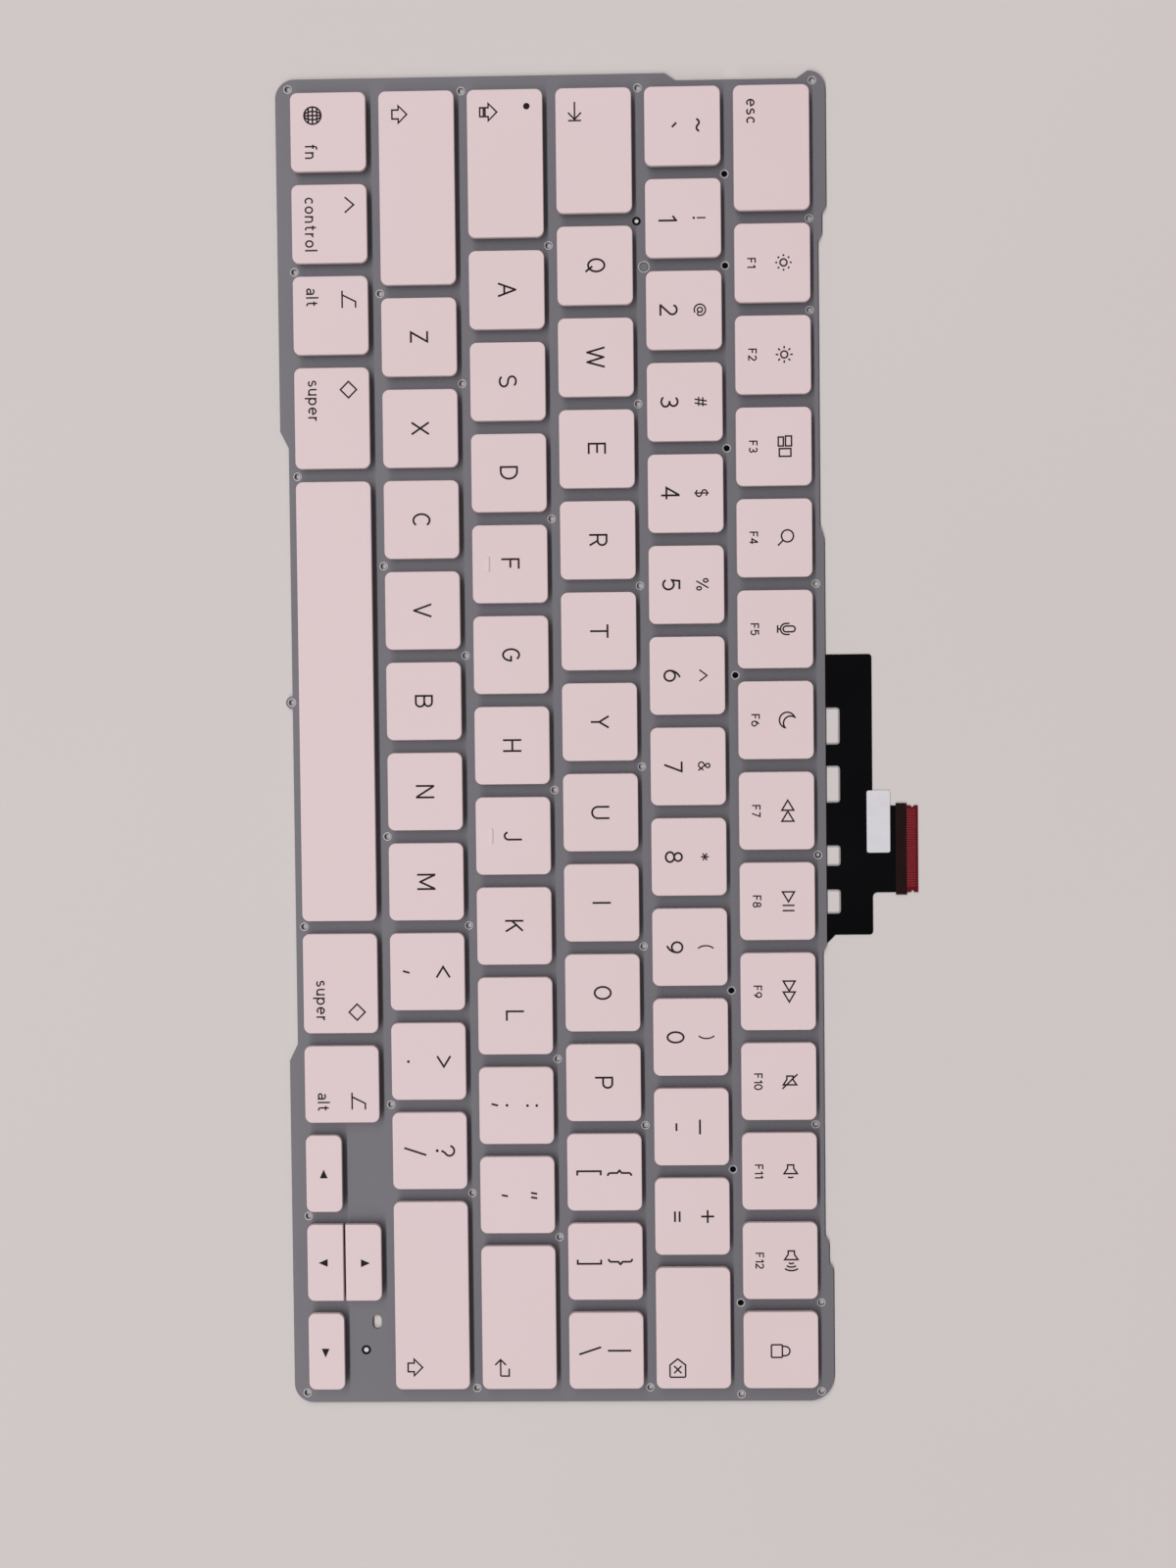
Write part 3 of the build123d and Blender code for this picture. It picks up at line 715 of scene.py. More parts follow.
@dataclass
class KeyField:
    """The places of all the keys, worked out from the pitch of the rows."""

    FIRST_MOVING_ROW = 2
    key_pitch: float = 19.0
    row_pitch: float = 18.44
    gap: float = 2.62
    split_gap: float = 0.4
    units: float = 14.5

    ROWS = (
        (("escape", 1.5), *((f"f{n}", 1) for n in range(1, 13)), ("lock", 1)),
        (("grave", 1), *((digit, 1) for digit in "1234567890"), ("minus", 1), ("equals", 1),
         ("delete", 1.5)),
        (("tab", 1.5), *((letter, 1) for letter in "qwertyuiop"), ("left_bracket", 1), ("right_bracket", 1),
         ("backslash", 1)),
        (("caps_lock", 1.75), *((letter, 1) for letter in "asdfghjkl"), ("semicolon", 1), ("quote", 1),
         ("return", 1.75)),
        (("left_shift", 2.25), *((letter, 1) for letter in "zxcvbnm"), ("comma", 1), ("period", 1),
         ("slash", 1), ("right_shift", 2.25)),
        (("fn", 1), ("control", 1), ("left_alt", 1), ("left_super", 1.25), ("space", 5),
         ("right_super", 1.25), ("right_alt", 1), ("arrow_left", 1), ("arrow_down", 1), ("arrow_right", 1)),
    )

    def keys(self) -> list[Key]:
        """Return every key, row by row from the back and from the left."""
        found = []
        depth = self.row_pitch - self.gap
        half_depth = (depth - self.split_gap) / 2
        shift = (depth - half_depth) / 2
        for row, names in enumerate(self.ROWS):
            left = -self.units * self.key_pitch / 2
            y = (len(self.ROWS) / 2 - row - 0.5) * self.row_pitch
            for name, units in names:
                x = left + units * self.key_pitch / 2
                width = units * self.key_pitch - self.gap
                left += units * self.key_pitch
                if name == "arrow_down":
                    found.append(Key("arrow_up", row, units, x, y + shift, width, half_depth, -1))
                    found.append(Key(name, row, units, x, y - shift, width, half_depth, 1))
                elif name.startswith("arrow"):
                    found.append(Key(name, row, units, x, y - shift, width, half_depth))
                else:
                    found.append(Key(name, row, units, x, y, width, depth))
        return found


class Legends:
    """What is printed on each cap."""

    SHIFTED = {
        "grave": (Mark("`", -0.2, -1.7, Lettering.POINT), Mark("~", -0.1, 3.2, Lettering.POINT)),
        "minus": (Mark("-", 0, -3.2, Lettering.POINT), Mark("_", 0, 1.75, Lettering.POINT)),
        "equals": (Mark("=", 0, -3.2, Lettering.POINT), Mark("+", 0, 3.2, Lettering.POINT)),
        "left_bracket": (Mark("[", 0.2, -3.3), Mark("{", 0.2, 3.15)),
        "right_bracket": (Mark("]", 0, -3.4), Mark("}", 0, 3.15)),
        "backslash": (Mark("\\", 0, -3.45), Mark("|", 0, 2.75)),
        "semicolon": (Mark(";", -0.1, -3.5, Lettering.POINT), Mark(":", 0, 3.3, Lettering.POINT)),
        "quote": (Mark("'", 0.1, -2.7, Lettering.POINT), Mark('"', 0.1, 3.5, Lettering.POINT)),
        "comma": (Mark(",", 0, -4.5, Lettering.POINT), Mark("<", 0.1, 3.3, Lettering.POINT)),
        "period": (Mark(".", 0, -4.3, Lettering.POINT), Mark(">", 0, 3.2, Lettering.POINT)),
        "slash": (Mark("/", 0.1, -3.1), Mark("?", 0, 3.2)),
    }
    NAMED = {
        "escape": (Mark("esc", -7.5, -4.3, Lettering.WORD),),
        "lock": (Mark(Icon.LOCK, 0.2, -0.1),),
        "delete": (Mark(Icon.DELETE, 8.5, -3.4),),
        "tab": (Mark(Icon.TAB, -8.1, -3.9),),
        "caps_lock": (Mark(Icon.CAPS_LOCK, -10.6, -3.4), Mark(Icon.LAMP, -11.7, 4.55)),
        "return": (Mark(Icon.RETURN, 10.7, -3.7),),
        "left_shift": (Mark(Icon.SHIFT, -15.2, -3.5),),
        "right_shift": (Mark(Icon.SHIFT, 15.3, -3.7),),
        "fn": (Mark(Icon.GLOBE, -3.4, -3.2), Mark("fn", 4.0, -3.65, Lettering.WORD)),
        "control": (Mark(Icon.CHEVRON, -3.85, 4.2), Mark("control", 0.1, -3.85, Lettering.WORD)),
        "left_alt": (Mark(Icon.ALTERNATE, -3.3, 3.85), Mark("alt", -3.75, -3.8, Lettering.WORD)),
        "right_alt": (Mark(Icon.ALTERNATE, 3.55, 3.5), Mark("alt", 3.75, -3.9, Lettering.WORD)),
        "left_super": (Mark(Icon.DIAMOND, -5.9, 3.5), Mark("super", -3.6, -4.45, Lettering.WORD)),
        "right_super": (Mark(Icon.DIAMOND, 6.05, 3.45), Mark("super", 3.6, -4.6, Lettering.WORD)),
        "arrow_left": (Mark(Icon.LEFT, 0, -0.1),),
        "arrow_right": (Mark(Icon.RIGHT, 0.3, -0.25),),
        "arrow_up": (Mark(Icon.UP, 0.1, 0.4),),
        "arrow_down": (Mark(Icon.DOWN, 0, -0.5),),
    }
    FUNCTION_ICONS = (
        Icon.DIM, Icon.BRIGHT, Icon.TILES, Icon.SEARCH, Icon.MICROPHONE, Icon.MOON,
        Icon.REWIND, Icon.PLAY, Icon.FORWARD, Icon.MUTE, Icon.SOFTER, Icon.LOUDER,
    )
    DIGIT_SYMBOLS = dict(zip("1234567890", "!@#$%^&*()"))

    def marks(self, name: str) -> tuple[Mark, ...]:
        """Return the marks on one key's cap.

        Args:
            name: The key's name.

        Returns:
            The marks, none for the space bar.
        """
        if name in self.SHIFTED:
            return self.SHIFTED[name]
        if name in self.NAMED:
            return self.NAMED[name]
        if name in self.DIGIT_SYMBOLS:
            return Mark(name, 0, -3.2), Mark(self.DIGIT_SYMBOLS[name], 0, 3.3, Lettering.SYMBOL)
        if name[0] == "f" and name[1:].isdigit():
            icon = self.FUNCTION_ICONS[int(name[1:]) - 1]
            return Mark(icon, 0, 2.3), Mark(name.upper(), 0, -4.35, Lettering.SMALL)
        return (Mark(name.upper()),) if len(name) == 1 else ()


@dataclass
class Keycaps:
    """The moulded caps and the print on them."""

    keys: list[Key]
    corner_radius: float = 1.5
    edge_radius: float = 0.16
    draft: float = 0.05
    wall: float = 0.9
    roof: float = 0.6
    foot_bevel: float = 0.1
    flat_margin: float = 0.15
    least_radius: float = 0.35
    ink_height: float = 0.015
    ink_layer: float = 0.002
    homing_inset: float = 3.3
    homing_length: float = 3.3
    homing_width: float = 0.8
    homing_height: float = 0.2
    homing_profile: tuple[tuple[float, float], ...] = ((0.0, -1.0), (0.0, 1.0), (0.08, 1.6), (0.2, 2.0))
    homing_keys: tuple[str, ...] = ("f", "j")

    def build(self) -> None:
        """Make the caps and legends of the whole field."""
        low, high = [corner.z / MM for corner in map(Vector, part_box("function_row_keycaps"))]
        for row, node in enumerate(("function_row_keycaps", "number_row_keycaps")):
            keys = [key for key in self.keys if key.row == row]
            self.make(node, keys, low, high, node)
        for key in self.keys:
            if key.row >= KeyField.FIRST_MOVING_ROW:
                self.make(f"{key.name}_keycap", [key], low, high, f"keycap_{key.name}")

    def make(self, name: str, keys: list[Key], low: float, high: float, node: str) -> None:
        """Make the caps that stand for one solid, and their legends.

        Args:
            name: The cap piece's name.
            keys: The keys whose caps it holds.
            low: Height of the caps' lower edge.
            high: Height of the caps' top.
            node: The solid that the piece stands for.
        """
        caps = Shell()
        print_shell = Shell()
        marked = False
        for key in keys:
            self.add_cap(caps, key, low, high)
            for mark in Legends().marks(key.name):
                self.add_mark(print_shell, key, mark, high)
                marked = True
        install(caps.piece(f"{name}_cap", CAP_PLASTIC), keys[0].body, "keycap", node)
        if marked:
            install(print_shell.piece(f"{name}_legend", LEGEND_INK), keys[0].body, "keycap")

    def add_cap(self, shell: Shell, key: Key, low: float, high: float) -> None:
        """Add one hollow cap with drafted sides and a rounded top edge."""
        edge = self.edge_radius
        profile = [
            (self.wall, high - self.roof),
            (self.wall, low),
            (self.foot_bevel, low),
            (0.0, low + self.foot_bevel),
            (self.draft, high - edge),
        ]
        for step in range(1, 5):
            angle = pi / 2 * step / 4
            profile.append((self.draft + edge * (1 - cos(angle)), high - edge * (1 - sin(angle))))
        profile.append((self.draft + edge + self.flat_margin, high))
        sections = []
        for inset, height in profile:
            radius = max(self.corner_radius - inset, self.least_radius)
            outline = rounded_outline(key.width - 2 * inset, key.depth - 2 * inset, radius, key.square_side)
            sections.append((outline, height))
        shell.place(shell.loft(sections), Matrix.Translation((key.x, key.y, 0)))
        if key.name in self.homing_keys:
            self.add_homing_bar(shell, key, high)

    def add_homing_bar(self, shell: Shell, key: Key, high: float) -> None:
        """Add the small raised bar that a finger finds."""
        half = self.homing_height / 2
        sections = []
        for inset, rise in self.homing_profile:
            length = self.homing_length - 2 * inset
            width = self.homing_width - 2 * inset
            sections.append((rounded_outline(length, width, width / 2), high + rise * half))
        bar_y = key.y - key.depth / 2 + self.homing_inset
        shell.place(shell.loft(sections), Matrix.Translation((key.x, bar_y, 0)))

    def add_mark(self, shell: Shell, key: Key, mark: Mark, high: float) -> None:
        """Print one mark on a cap, each stroke a little thicker than the last so that no two faces meet."""
        middle = Vector((key.x, key.y))
        width = mark.pen.value[1]
        low = high - self.ink_height
        parts = [part for stroke in mark.strokes() for part in stroke.parts(width)]
        for layer, part in enumerate(parts):
            face = high + self.ink_height + layer * self.ink_layer
            path = [middle + point for point in part.path]
            if part.filled:
                shell.loft([(path, low), (path, face)])
            else:
                shell.ribbon(path, width, low, face, part.closed)


@dataclass
class KeyMechanisms:
    """The rubber dome, crossed scissor frames and stabiliser wire under each cap."""

    keys: list[Key]
    cap_wall: float = 0.9
    frame_margin: float = 0.38
    frame_width: float = 10.6
    frame_depth_limit: float = 11.0
    frame_bar: float = 1.1
    frame_thickness: float = 0.45
    frame_corner: float = 0.5
    opening_corner: float = 0.3
    frame_clearance: float = 0.15
    dome_clearance: float = 0.3
    dome_profile: tuple[tuple[float, float], ...] = (
        (2.1, 0.0), (2.1, 0.06), (1.78, 0.1), (1.66, 0.2),
        (1.46, 0.55), (1.3, 0.82), (1.24, 0.97), (1.1, 1.0),
    )
    dome_steps: int = 20
    wire_min_units: float = 1.75
    wire_thickness: float = 0.5
    wire_depth: float = 9.0
    wire_end_clearance: float = 1.0

    def build(self, travel: float) -> None:
        """Make every mechanism, and give those under moving keys meshes of their own.

        Args:
            travel: How far a key goes down, in millimetres.
        """
        self.low, self.high = [corner.z / MM for corner in map(Vector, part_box("scissor_frames"))]
        fixed = [key for key in self.keys if key.row < KeyField.FIRST_MOVING_ROW]
        self.make("back_rows", fixed, None)
        for key in self.keys:
            if key not in fixed:
                self.make(key.name, [key], travel)

    def make(self, name: str, keys: list[Key], travel: float | None) -> None:
        """Make the mechanisms of some keys as one dome piece, one frame piece and perhaps a wire."""
        domes = Shell()
        frames = Shell()
        for key in keys:
            self.add_dome(domes, key)
            self.add_frames(frames, key)
        pieces = [
            (domes.piece(f"{name}_dome", DOME_RUBBER), "dome", "rubber_domes", 0.0),
            (frames.piece(f"{name}_scissor", FRAME_NYLON), "frame", "scissor_frames", self.low),
        ]
        for key in keys:
            if key.units >= self.wire_min_units:
                wire = Shell()
                self.add_wire(wire, key)
                pieces.append((wire.piece(f"{name}_wire", WIRE_STEEL), "wire", "stabiliser_wires", self.low))
        for item, slot, node, foot in pieces:
            install(item, ROOT, slot, node)
            if travel is not None:
                keys[0].joint
                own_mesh(item)

    def frame_depth(self, key: Key) -> float:
        """Return the depth of the frames that fit under a cap."""
        edge = self.cap_wall + self.frame_margin
        if key.units >= self.wire_min_units:
            edge += 2 * self.wire_thickness
        return min(self.frame_depth_limit, key.depth - 2 * edge)

    def add_dome(self, shell: Shell, key: Key) -> None:
        """Add a bell-shaped dome that stands on the circuit."""
        room = self.frame_depth(key) / 2 - self.frame_bar - self.dome_clearance
        scale = min(1.0, room / self.dome_profile[0][0])
        middle = Vector((key.x, key.y))
        rings = [(circle(radius * scale, self.dome_steps, middle), share) for radius, share in self.dome_profile]
        shell.loft([(ring, share * self.high) for ring, share in rings])

    def add_frames(self, shell: Shell, key: Key) -> None:
        """Add the outer ring and the inner fork, tilted opposite ways and crossing at the middle."""
        depth = self.frame_depth(key)
        half = self.frame_thickness / 2
        bar = self.frame_bar
        outer = rounded_outline(self.frame_width, depth, self.frame_corner, steps=3)
        opening = rounded_outline(
            self.frame_width - 2 * bar, depth - 2 * bar, self.opening_corner, steps=3
        )
        ring = shell.loft([(opening, -half), (outer, -half), (outer, half), (opening, half)], closed=True)
        width = self.frame_width - 2 * (bar + self.frame_clearance)
        back, mouth = depth / 2, depth / 2 - bar
        left, prong = width / 2, width / 2 - bar
        fork = [Vector(p) for p in ((-left, -back), (-prong, -back), (-prong, mouth), (prong, mouth))]
        fork += [Vector(p) for p in ((prong, -back), (left, -back), (left, back), (-left, back))]
        prongs = shell.loft([(fork, -half), (fork, half)])
        for points, side in ((ring, -1), (prongs, 1)):
            shell.place(points, self.tilt(key.x, key.y, depth, self.frame_thickness, side))

    def add_wire(self, shell: Shell, key: Key) -> None:
        """Add the bent steel wire that keeps a wide cap level."""
        half = self.wire_thickness / 2
        reach = key.width / 2 - self.cap_wall - self.wire_end_clearance - half
        depth = self.wire_depth - self.wire_thickness
        back = depth / 2
        path = [Vector(p) for p in ((-reach, -back), (-reach, back), (reach, back), (reach, -back))]
        before = set(shell.mesh.verts)
        shell.ribbon(path, self.wire_thickness, -half, half, False)
        points = [vertex for vertex in shell.mesh.verts if vertex not in before]
        middle = key.y + key.depth / 2 - self.cap_wall - self.wire_thickness - self.wire_depth / 2
        shell.place(points, self.tilt(key.x, middle, self.wire_depth, self.wire_thickness, 1))

    def tilt(self, x: float, y: float, depth: float, thickness: float, side: int) -> Matrix:
        """Return the place of a flat frame that leans from the plate up to the cap."""
        angle = side * asin((self.high - self.low - thickness) / depth)
        middle = (self.low + self.high) / 2
        return Matrix.Translation((x, y, middle)) @ Matrix.Rotation(angle, 4, "X")


def round_corners(outline: Outline, radius: float, steps: int = 4) -> Outline:
    """Round every corner of an outline.

    Args:
        outline: The points of the outline.
        radius: How far each corner is cut back along its two edges.
        steps: Segments in each corner.

    Returns:
        The rounded outline.
    """
    points = []
    for i, corner in enumerate(outline):
        start = corner + radius * (outline[i - 1] - corner).normalized()
        end = corner + radius * (outline[(i + 1) % len(outline)] - corner).normalized()
        for step in range(steps + 1):
            share = step / steps
            points.append(start.lerp(corner, share).lerp(corner.lerp(end, share), share))
    return points


class Sheet:
    """A flat cut sheet, made again from the outlines of its solid with finer holes and softened edges."""

    def __init__(self, node: bpy.types.Object, edge_round: float) -> None:
        """Read the outlines of a solid.

        Args:
            node: The sheet's solid.
            edge_round: Radius of the softened edges, in millimetres.
        """
        self.node = node
        self.edge_round = edge_round
        self.low, self.high = [corner.z / MM for corner in map(Vector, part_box(node.name))]
        self.curve = bpy.data.curves.new(f"{node.name}_outline", "CURVE")
        self.curve.dimensions = "2D"
        self.curve.fill_mode = "BOTH"
        self.curve.extrude = ((self.high - self.low) / 2 - edge_round) * MM
        self.curve.bevel_depth = edge_round * MM
        self.curve.bevel_resolution = 1
        self.curve.offset = -edge_round * MM

    def cut(self, outline: Outline) -> None:
        """Add one closed outline, of the sheet or of a hole in it."""
        spline = self.curve.splines.new("POLY")
        spline.points.add(len(outline) - 1)
        for target, point in zip(spline.points, outline):
            target.co = (point.x * MM, point.y * MM, 0.0, 1.0)
        spline.use_cyclic_u = True

    def piece(self, name: str, finish: Finish) -> bpy.types.Object:
        """Turn the outlines into one piece.

        Args:
            name: The piece's name.
            finish: What the sheet is made of.

        Returns:
            The sheet, at the height of its solid.
        """
        outline = bpy.data.objects.new(f"{name}_outline", self.curve)
        bpy.context.scene.collection.objects.link(outline)
        bpy.context.view_layer.update()
        data = bpy.data.meshes.new_from_object(outline.evaluated_get(bpy.context.evaluated_depsgraph_get()))
        bpy.data.objects.remove(outline)
        shell = Shell()
        shell.mesh.from_mesh(data)
        bmesh.ops.remove_doubles(shell.mesh, verts=shell.mesh.verts, dist=1e-6)
        bmesh.ops.scale(shell.mesh, vec=(1 / MM, 1 / MM, 1 / MM), verts=shell.mesh.verts)
        bmesh.ops.translate(shell.mesh, vec=(0, 0, (self.low + self.high) / 2), verts=shell.mesh.verts)
        return shell.piece(name, finish, SHEET_SHARP_DEGREES)

    def outlines(self) -> list[Outline]:
        """Return the outlines of the solid's top face, its edge and its holes, in millimetres."""
        mesh = bmesh.new()
        mesh.from_mesh(self.node.data)
        mesh.transform(self.node.matrix_world)
        bmesh.ops.remove_doubles(mesh, verts=mesh.verts, dist=1e-7)
        level = (self.high - 0.01) * MM
        top = {face for face in mesh.faces if face.normal.z > 0.9 and face.calc_center_median().z > level}
        steps = {}
        for face in top:
            for loop in face.loops:
                if sum(other in top for other in loop.edge.link_faces) == 1:
                    steps[loop.vert] = loop.link_loop_next.vert
        found = []
        while steps:
            start, vertex = steps.popitem()
            outline = [start.co.xy / MM]
            while vertex is not start:
                outline.append(vertex.co.xy / MM)
                vertex = steps.pop(vertex)
            found.append(outline)
        mesh.free()
        return found


@dataclass
class Plate:
    """The stamped plate, with round holes, punched rims and the fittings in its locating holes."""

    edge_round: float = 0.06
    window_corner: float = 0.6
    rim_gap: float = 0.14
    rim_width: float = 0.15
    rim_height: float = 0.06
    rim_profile: tuple[tuple[float, float], ...] = (
        (0.0, -0.1), (0.0, 0.3), (0.25, 0.85), (0.5, 1.0), (0.75, 0.85), (1.0, 0.0), (1.0, -0.1),
    )
    hole_steps: int = 36
    roundness: float = 0.05
    largest_hole: float = 5.0
    bush_width: float = 0.3
    bush_height: float = 0.1
    bush_depth: float = 0.3
    bush_inset: float = 0.16
    bush_round: float = 0.06
    bush_drop: float = 0.04
    pin_inset: float = 0.14
    pin_drop: float = 0.05
    pin_round: float = 0.08
    plug_drop: float = 0.12
    bushed_holes: tuple[tuple[float, float], ...] = ((128.55, -42.2), (-109.25, 17.94))
    plugged_holes: tuple[tuple[float, float], ...] = ((-99.75, 19.41),)

    def build(self, frame: dict) -> None:
        """Make the plate from the outlines of its solid.

        Args:
            frame: The loaded frame.
        """
        sheet = Sheet(frame["nodes"]["base_plate"], self.edge_round)
        rims = Shell()
        bushes = Shell()
        pins = Shell()
        plugs = Shell()
        for outline in sheet.outlines():
            middle = sum(outline, Vector((0, 0))) / len(outline)
            reach = [(point - middle).length for point in outline]
            radius = max(reach)
            if len(outline) == 4:
                outline = round_corners(outline, self.window_corner)
            elif radius < self.largest_hole and radius - min(reach) < self.roundness:
                outline = circle(radius, self.hole_steps, middle)
                if self.among(middle, self.bushed_holes):
                    self.add_bush(bushes, middle, radius, sheet.high)
                    pin_top = sheet.high - self.pin_drop
                    self.add_disc(pins, middle, radius - self.pin_inset, sheet.low, pin_top)
                else:
                    self.add_rim(rims, middle, radius, sheet.high)
                if self.among(middle, self.plugged_holes):
                    self.add_disc(plugs, middle, radius, sheet.low, sheet.high - self.plug_drop)
            sheet.cut(outline)
        install(sheet.piece("plate", PLATE_METAL), ROOT, "plate", "base_plate")
        # The rims' bright colour is a painted highlight round each hole.
        install(rims.piece("hole_rims", RIM_PAINTED_HIGHLIGHT), ROOT, "plate")
        install(bushes.piece("locating_bushes", BUSH_RUBBER), ROOT, "plate")
        install(pins.piece("locating_pins", PIN_NYLON), ROOT, "plate")
        install(plugs.piece("pin_plug", PLATE_METAL), ROOT, "plate")

    @staticmethod
    def among(middle: Vector, places: tuple[tuple[float, float], ...]) -> bool:
        """Tell whether a hole is one of some places, within half a millimetre."""
        return any((middle - Vector(place)).length < 0.5 for place in places)

    def add_rim(self, shell: Shell, middle: Vector, radius: float, high: float) -> None:
        """Add the punched rim that stands round one hole."""
        inner = radius + self.rim_gap
        rings = []
        for share, rise in self.rim_profile:
            ring = circle(inner + share * self.rim_width, self.hole_steps, middle)
            rings.append((ring, high + rise * self.rim_height))
        shell.loft(rings, closed=True)

    def add_bush(self, shell: Shell, middle: Vector, radius: float, high: float) -> None:
        """Add a rubber bush that lines a hole and laps over its edge."""
        inner = radius - self.bush_inset
        outer = radius + self.bush_width
        lip = high + self.bush_height
        edge = lip - self.bush_drop
        foot = high - self.bush_depth
        section = [(inner, foot), (inner, edge), (inner + self.bush_round, lip)]
        section += [(outer - self.bush_round, lip), (outer, edge), (outer, high)]
        section += [(radius, high), (radius, foot)]
        rings = [(circle(reach, self.hole_steps, middle), height) for reach, height in section]
        shell.loft(rings, closed=True)

    def add_disc(self, shell: Shell, middle: Vector, radius: float, low: float, high: float) -> None:
        """Add the round end of a pin that fills a hole, with a softened edge."""
        section = [(radius, low), (radius, high - self.pin_round), (radius - self.pin_round, high)]
        shell.loft([(circle(ring, self.hole_steps, middle), height) for ring, height in section])


@dataclass
class Tail:
    """The flat black circuit with its tail, and what is stuck on the tail."""

    edge_round: float = 0.02
    window_corner: float = 0.75
    label_corner: float = 0.5
    notch_depth: float = 0.5
    notch_shares: tuple[float, float, float] = (1 / 3, 1 / 2, 2 / 3)
    side_tolerance: float = 0.5
    upright_tolerance: float = 0.01
    ledge_width: float = 0.36
    ledge_height: float = 0.08
    screw_hole: tuple[float, float] = (23.75, 54.82)
    screw_hole_radius: float = 0.4
    hole_steps: int = 36
    finger_pitch: float = 0.5
    finger_width: float = 0.26
    finger_height: float = 0.02
    finger_share: float = 0.8
    side_margin: float = 0.9

    def build(self, frame: dict) -> None:
        """Make the circuit and the label, dress the band and the strip, and add the contact fingers.

        Args:
            frame: The loaded frame.
        """
        sheet = Sheet(frame["nodes"]["switch_circuit"], self.edge_round)
        ledges = Shell()
        for outline in sheet.outlines():
            if len(outline) == 4:
                sheet.cut(round_corners(outline, self.window_corner))
                self.add_ledge(ledges, outline, sheet.low)
            else:
                sheet.cut(self.notch_neck(outline))
        sheet.cut(circle(self.screw_hole_radius, self.hole_steps, Vector(self.screw_hole)))
        install(sheet.piece("circuit", CIRCUIT_FILM), ROOT, "circuit", "switch_circuit")
        install(ledges.piece("window_ledges", LEDGE_FILM), ROOT, "circuit")
        label = Sheet(frame["nodes"]["tail_label"], self.edge_round)
        for outline in label.outlines():
            label.cut(round_corners(outline, self.label_corner))
        install(label.piece("label", LABEL_PAPER), ROOT, "label", "tail_label")
        for node, finish in (("tail_band", BAND_TAPE), ("contact_strip", CONTACT_RESIST)):
            data = frame["nodes"][node].data
            data.materials.clear()
            data.materials.append(finish.material())
            LOG.info("%s is dressed as %s", node, finish.name)
        self.add_fingers()

    def notch_neck(self, outline: Outline) -> Outline:
        """Return the circuit's outline with the contact strip's notches cut in the neck's two sides."""
        low, high = [Vector(corner).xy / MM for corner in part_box("contact_strip")]
        start, tip, end = [low.y + share * (high.y - low.y) for share in self.notch_shares]
        points = []
        for i, corner in enumerate(outline):
            points.append(corner)
            after = outline[(i + 1) % len(outline)]
            level = sorted((corner.y, after.y))
            upright = abs(corner.x - after.x) < self.upright_tolerance
            if upright and level[0] < start and level[1] > end:
                for side, inward in ((low.x, 1), (high.x, -1)):
                    if abs(corner.x - side) < self.side_tolerance:
                        inner = corner.x + inward * self.notch_depth
                        notch = [Vector(p) for p in ((corner.x, start), (inner, tip), (corner.x, end))]
                        points += notch if after.y > corner.y else notch[::-1]
        return points

    def add_ledge(self, shell: Shell, window: Outline, low: float) -> None:
        """Add the ledge of bare film that stands in from the edge of one window."""
        sides = [(min(axis), max(axis)) for axis in zip(*window)]
        middle = Vector([(start + end) / 2 for start, end in sides])
        width, depth = [end - start - self.ledge_width for start, end in sides]
        outline = rounded_outline(width, depth, self.window_corner - self.ledge_width / 2)
        path = [middle + point for point in outline]
        shell.ribbon(path, self.ledge_width, low, low + self.ledge_height, True)

    def add_fingers(self) -> None:
        """Lay the row of contact fingers on the strip."""
        low, high = [Vector(corner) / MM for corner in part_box("contact_strip")]
        start = low.x + self.side_margin
        count = int((high.x - low.x - 2 * self.side_margin) / self.finger_pitch) + 1
        length = (high.y - low.y) * self.finger_share
        shell = Shell()
        for step in range(count):
            x = start + step * self.finger_pitch
            path = [Vector((x, low.y)), Vector((x, low.y + length))]
            base, face = high.z - self.finger_height, high.z + self.finger_height
            shell.ribbon(path, self.finger_width, base, face, False)
        install(shell.piece("contact_fingers", FINGER_METAL), ROOT, "contact")


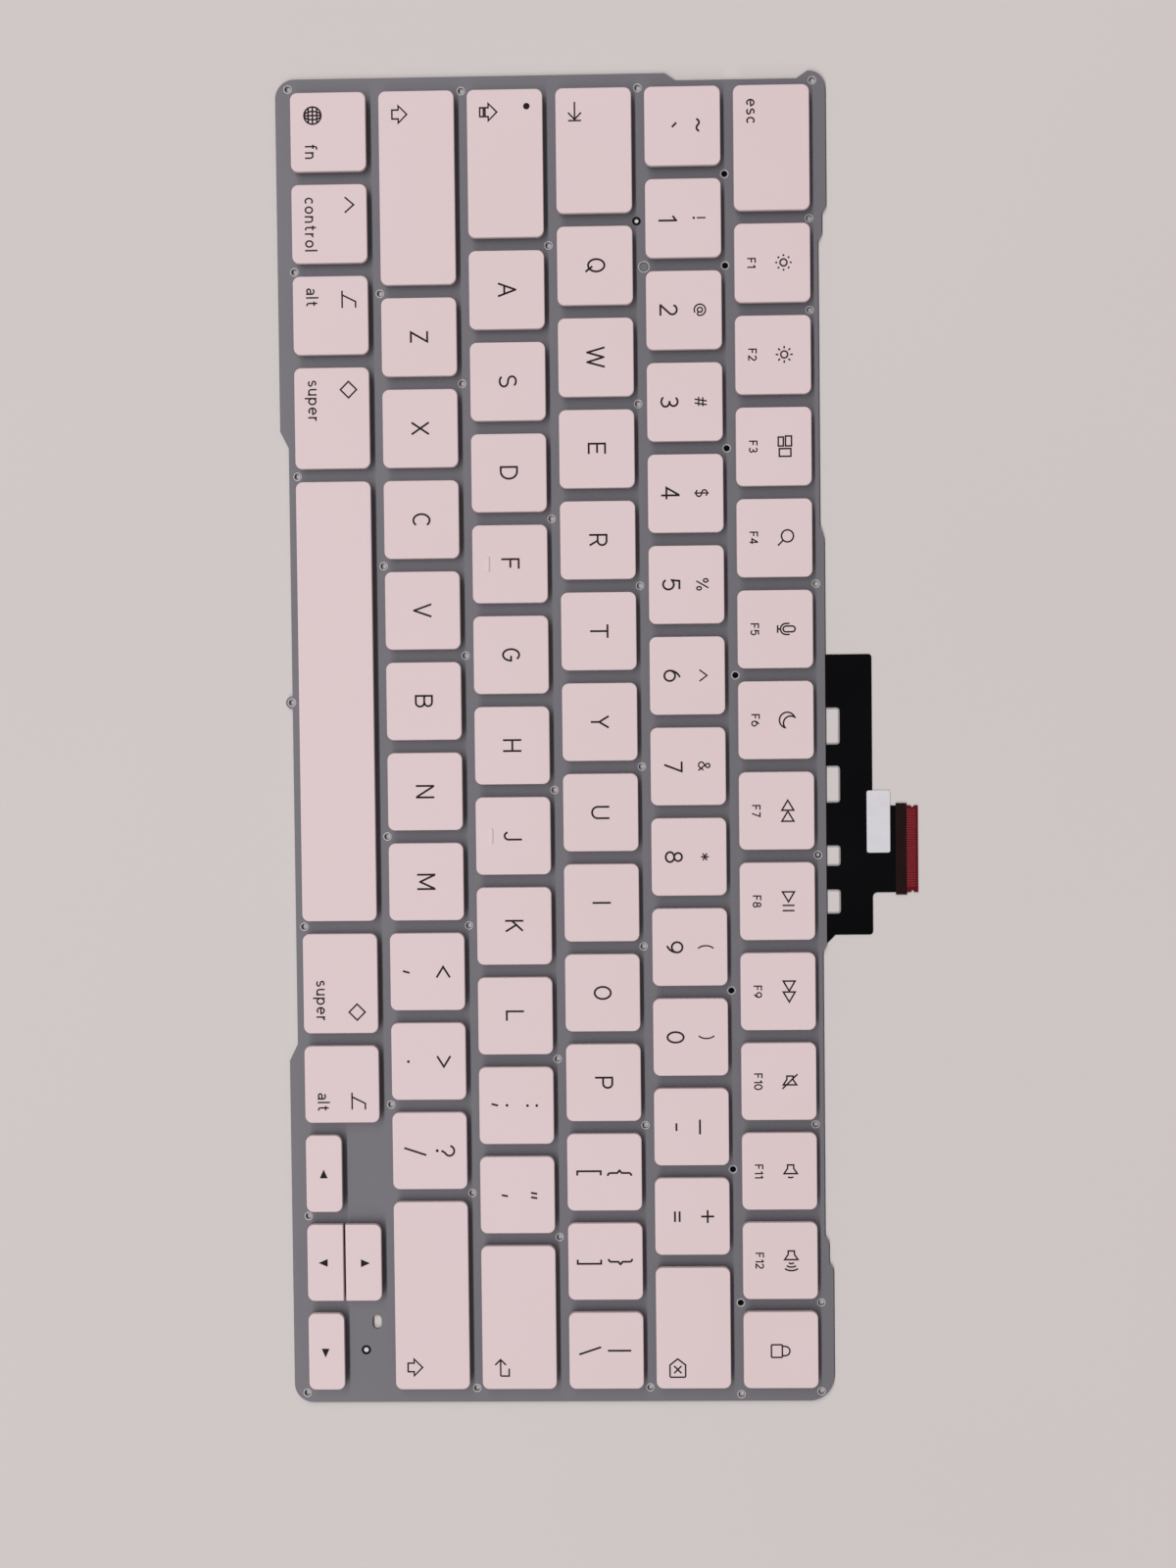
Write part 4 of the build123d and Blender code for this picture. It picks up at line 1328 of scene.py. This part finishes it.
@dataclass
class Studio:
    """The table, the light and the camera, which looks straight down with the rows' right end below."""

    eye: tuple[float, float, float] = (-8.53, 19.15, 484.9)
    target: tuple[float, float, float] = (8.23, 6.61, 3.05)
    image_up: tuple[float, float, float] = (-1.0, 0.0109, 0.0)
    focal_pixels: float = 2345.9
    image_height: float = 1600.0
    film_height: float = 36.0
    table_size: float = 7.0
    table_thickness: float = 20.0
    table_gap: float = 0.01
    backdrop: str = "#d6d0ce"
    sky_strength: float = 0.17
    strip_place: tuple[float, float, float] = (0.5, -2.9, 8.0)
    strip_length: float = 30.0
    strip_width: float = 0.8
    strip_watts: float = 1500.0

    def build(self) -> None:
        """Set up the table, the light and the camera."""
        self.set_table()
        self.set_light()
        self.set_camera()

    def set_table(self) -> None:
        """Lay the pale table top under the lowest point of the object."""
        low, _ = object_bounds()
        shell = Shell()
        half = self.table_size / 2 / MM
        top = low[2] / MM
        outline = [Vector(p) for p in ((-half, -half), (half, -half), (half, half), (-half, half))]
        shell.loft([(outline, top - self.table_thickness), (outline, top - self.table_gap)])
        shell.piece("table", TABLE_PAINT)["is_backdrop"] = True

    def set_light(self) -> None:
        """Light the scene from an even sky and a long strip softbox overhead, before a pale backdrop."""
        world = bpy.data.worlds.new("studio")
        world.use_nodes = True
        tree = world.node_tree
        sky = tree.nodes["Background"]
        sky.inputs["Color"].default_value = linear("#ffffff")
        sky.inputs["Strength"].default_value = self.sky_strength
        backdrop = add_node(tree, "ShaderNodeBackground", {"Color": linear(self.backdrop)})
        rays = add_node(tree, "ShaderNodeLightPath").outputs
        seen = rays["Is Camera Ray"]
        for kind in ("Is Glossy Ray", "Is Transmission Ray"):
            seen = add_node(tree, "ShaderNodeMath", {0: seen, 1: rays[kind]}, operation="MAXIMUM").outputs[0]
        mixed = add_node(tree, "ShaderNodeMixShader", {0: seen, 1: sky.outputs[0], 2: backdrop.outputs[0]})
        tree.links.new(mixed.outputs[0], tree.nodes["World Output"].inputs["Surface"])
        bpy.context.scene.world = world
        strip = bpy.data.lights.new("strip_softbox", "AREA")
        strip.shape = "RECTANGLE"
        strip.size = self.strip_length
        strip.size_y = self.strip_width
        strip.energy = self.strip_watts
        holder = bpy.data.objects.new("strip_softbox", strip)
        holder.location = self.strip_place
        bpy.context.scene.collection.objects.link(holder)

    def set_camera(self) -> None:
        """Place the camera where the photograph was taken from."""
        forward = (Vector(self.target) - Vector(self.eye)).normalized()
        up = Vector(self.image_up)
        up = (up - up.dot(forward) * forward).normalized()
        right = forward.cross(up)
        turn = Matrix((right, up, -forward)).transposed().to_4x4()
        data = bpy.data.cameras.new("camera")
        data.sensor_fit = "VERTICAL"
        data.sensor_height = self.film_height
        data.lens = self.focal_pixels * self.film_height / self.image_height
        data.clip_start = 0.01
        camera = bpy.data.objects.new("camera", data)
        camera.matrix_world = Matrix.Translation(Vector(self.eye) * MM) @ turn
        bpy.context.scene.collection.objects.link(camera)
        bpy.context.scene.camera = camera
        bpy.context.scene.view_settings.view_transform = "Standard"


def write_sizes() -> None:
    """Bring the view layer up to date.
    """
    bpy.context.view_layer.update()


def main() -> None:
    """Build the keyboard on its frame, then the studio round it."""
    logging.basicConfig(level=logging.INFO, format="%(name)s: %(message)s")
    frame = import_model()
    joint = next(joint for joint in frame["joints"] if joint["name"] == "space_press")
    travel = -joint["range_m"][0] / MM
    keys = KeyField().keys()
    Plate().build(frame)
    Tail().build(frame)
    KeyMechanisms(keys).build(travel)
    Keycaps(keys).build()
    write_sizes()
    Studio().build()


if __name__ == "__main__":
    main()
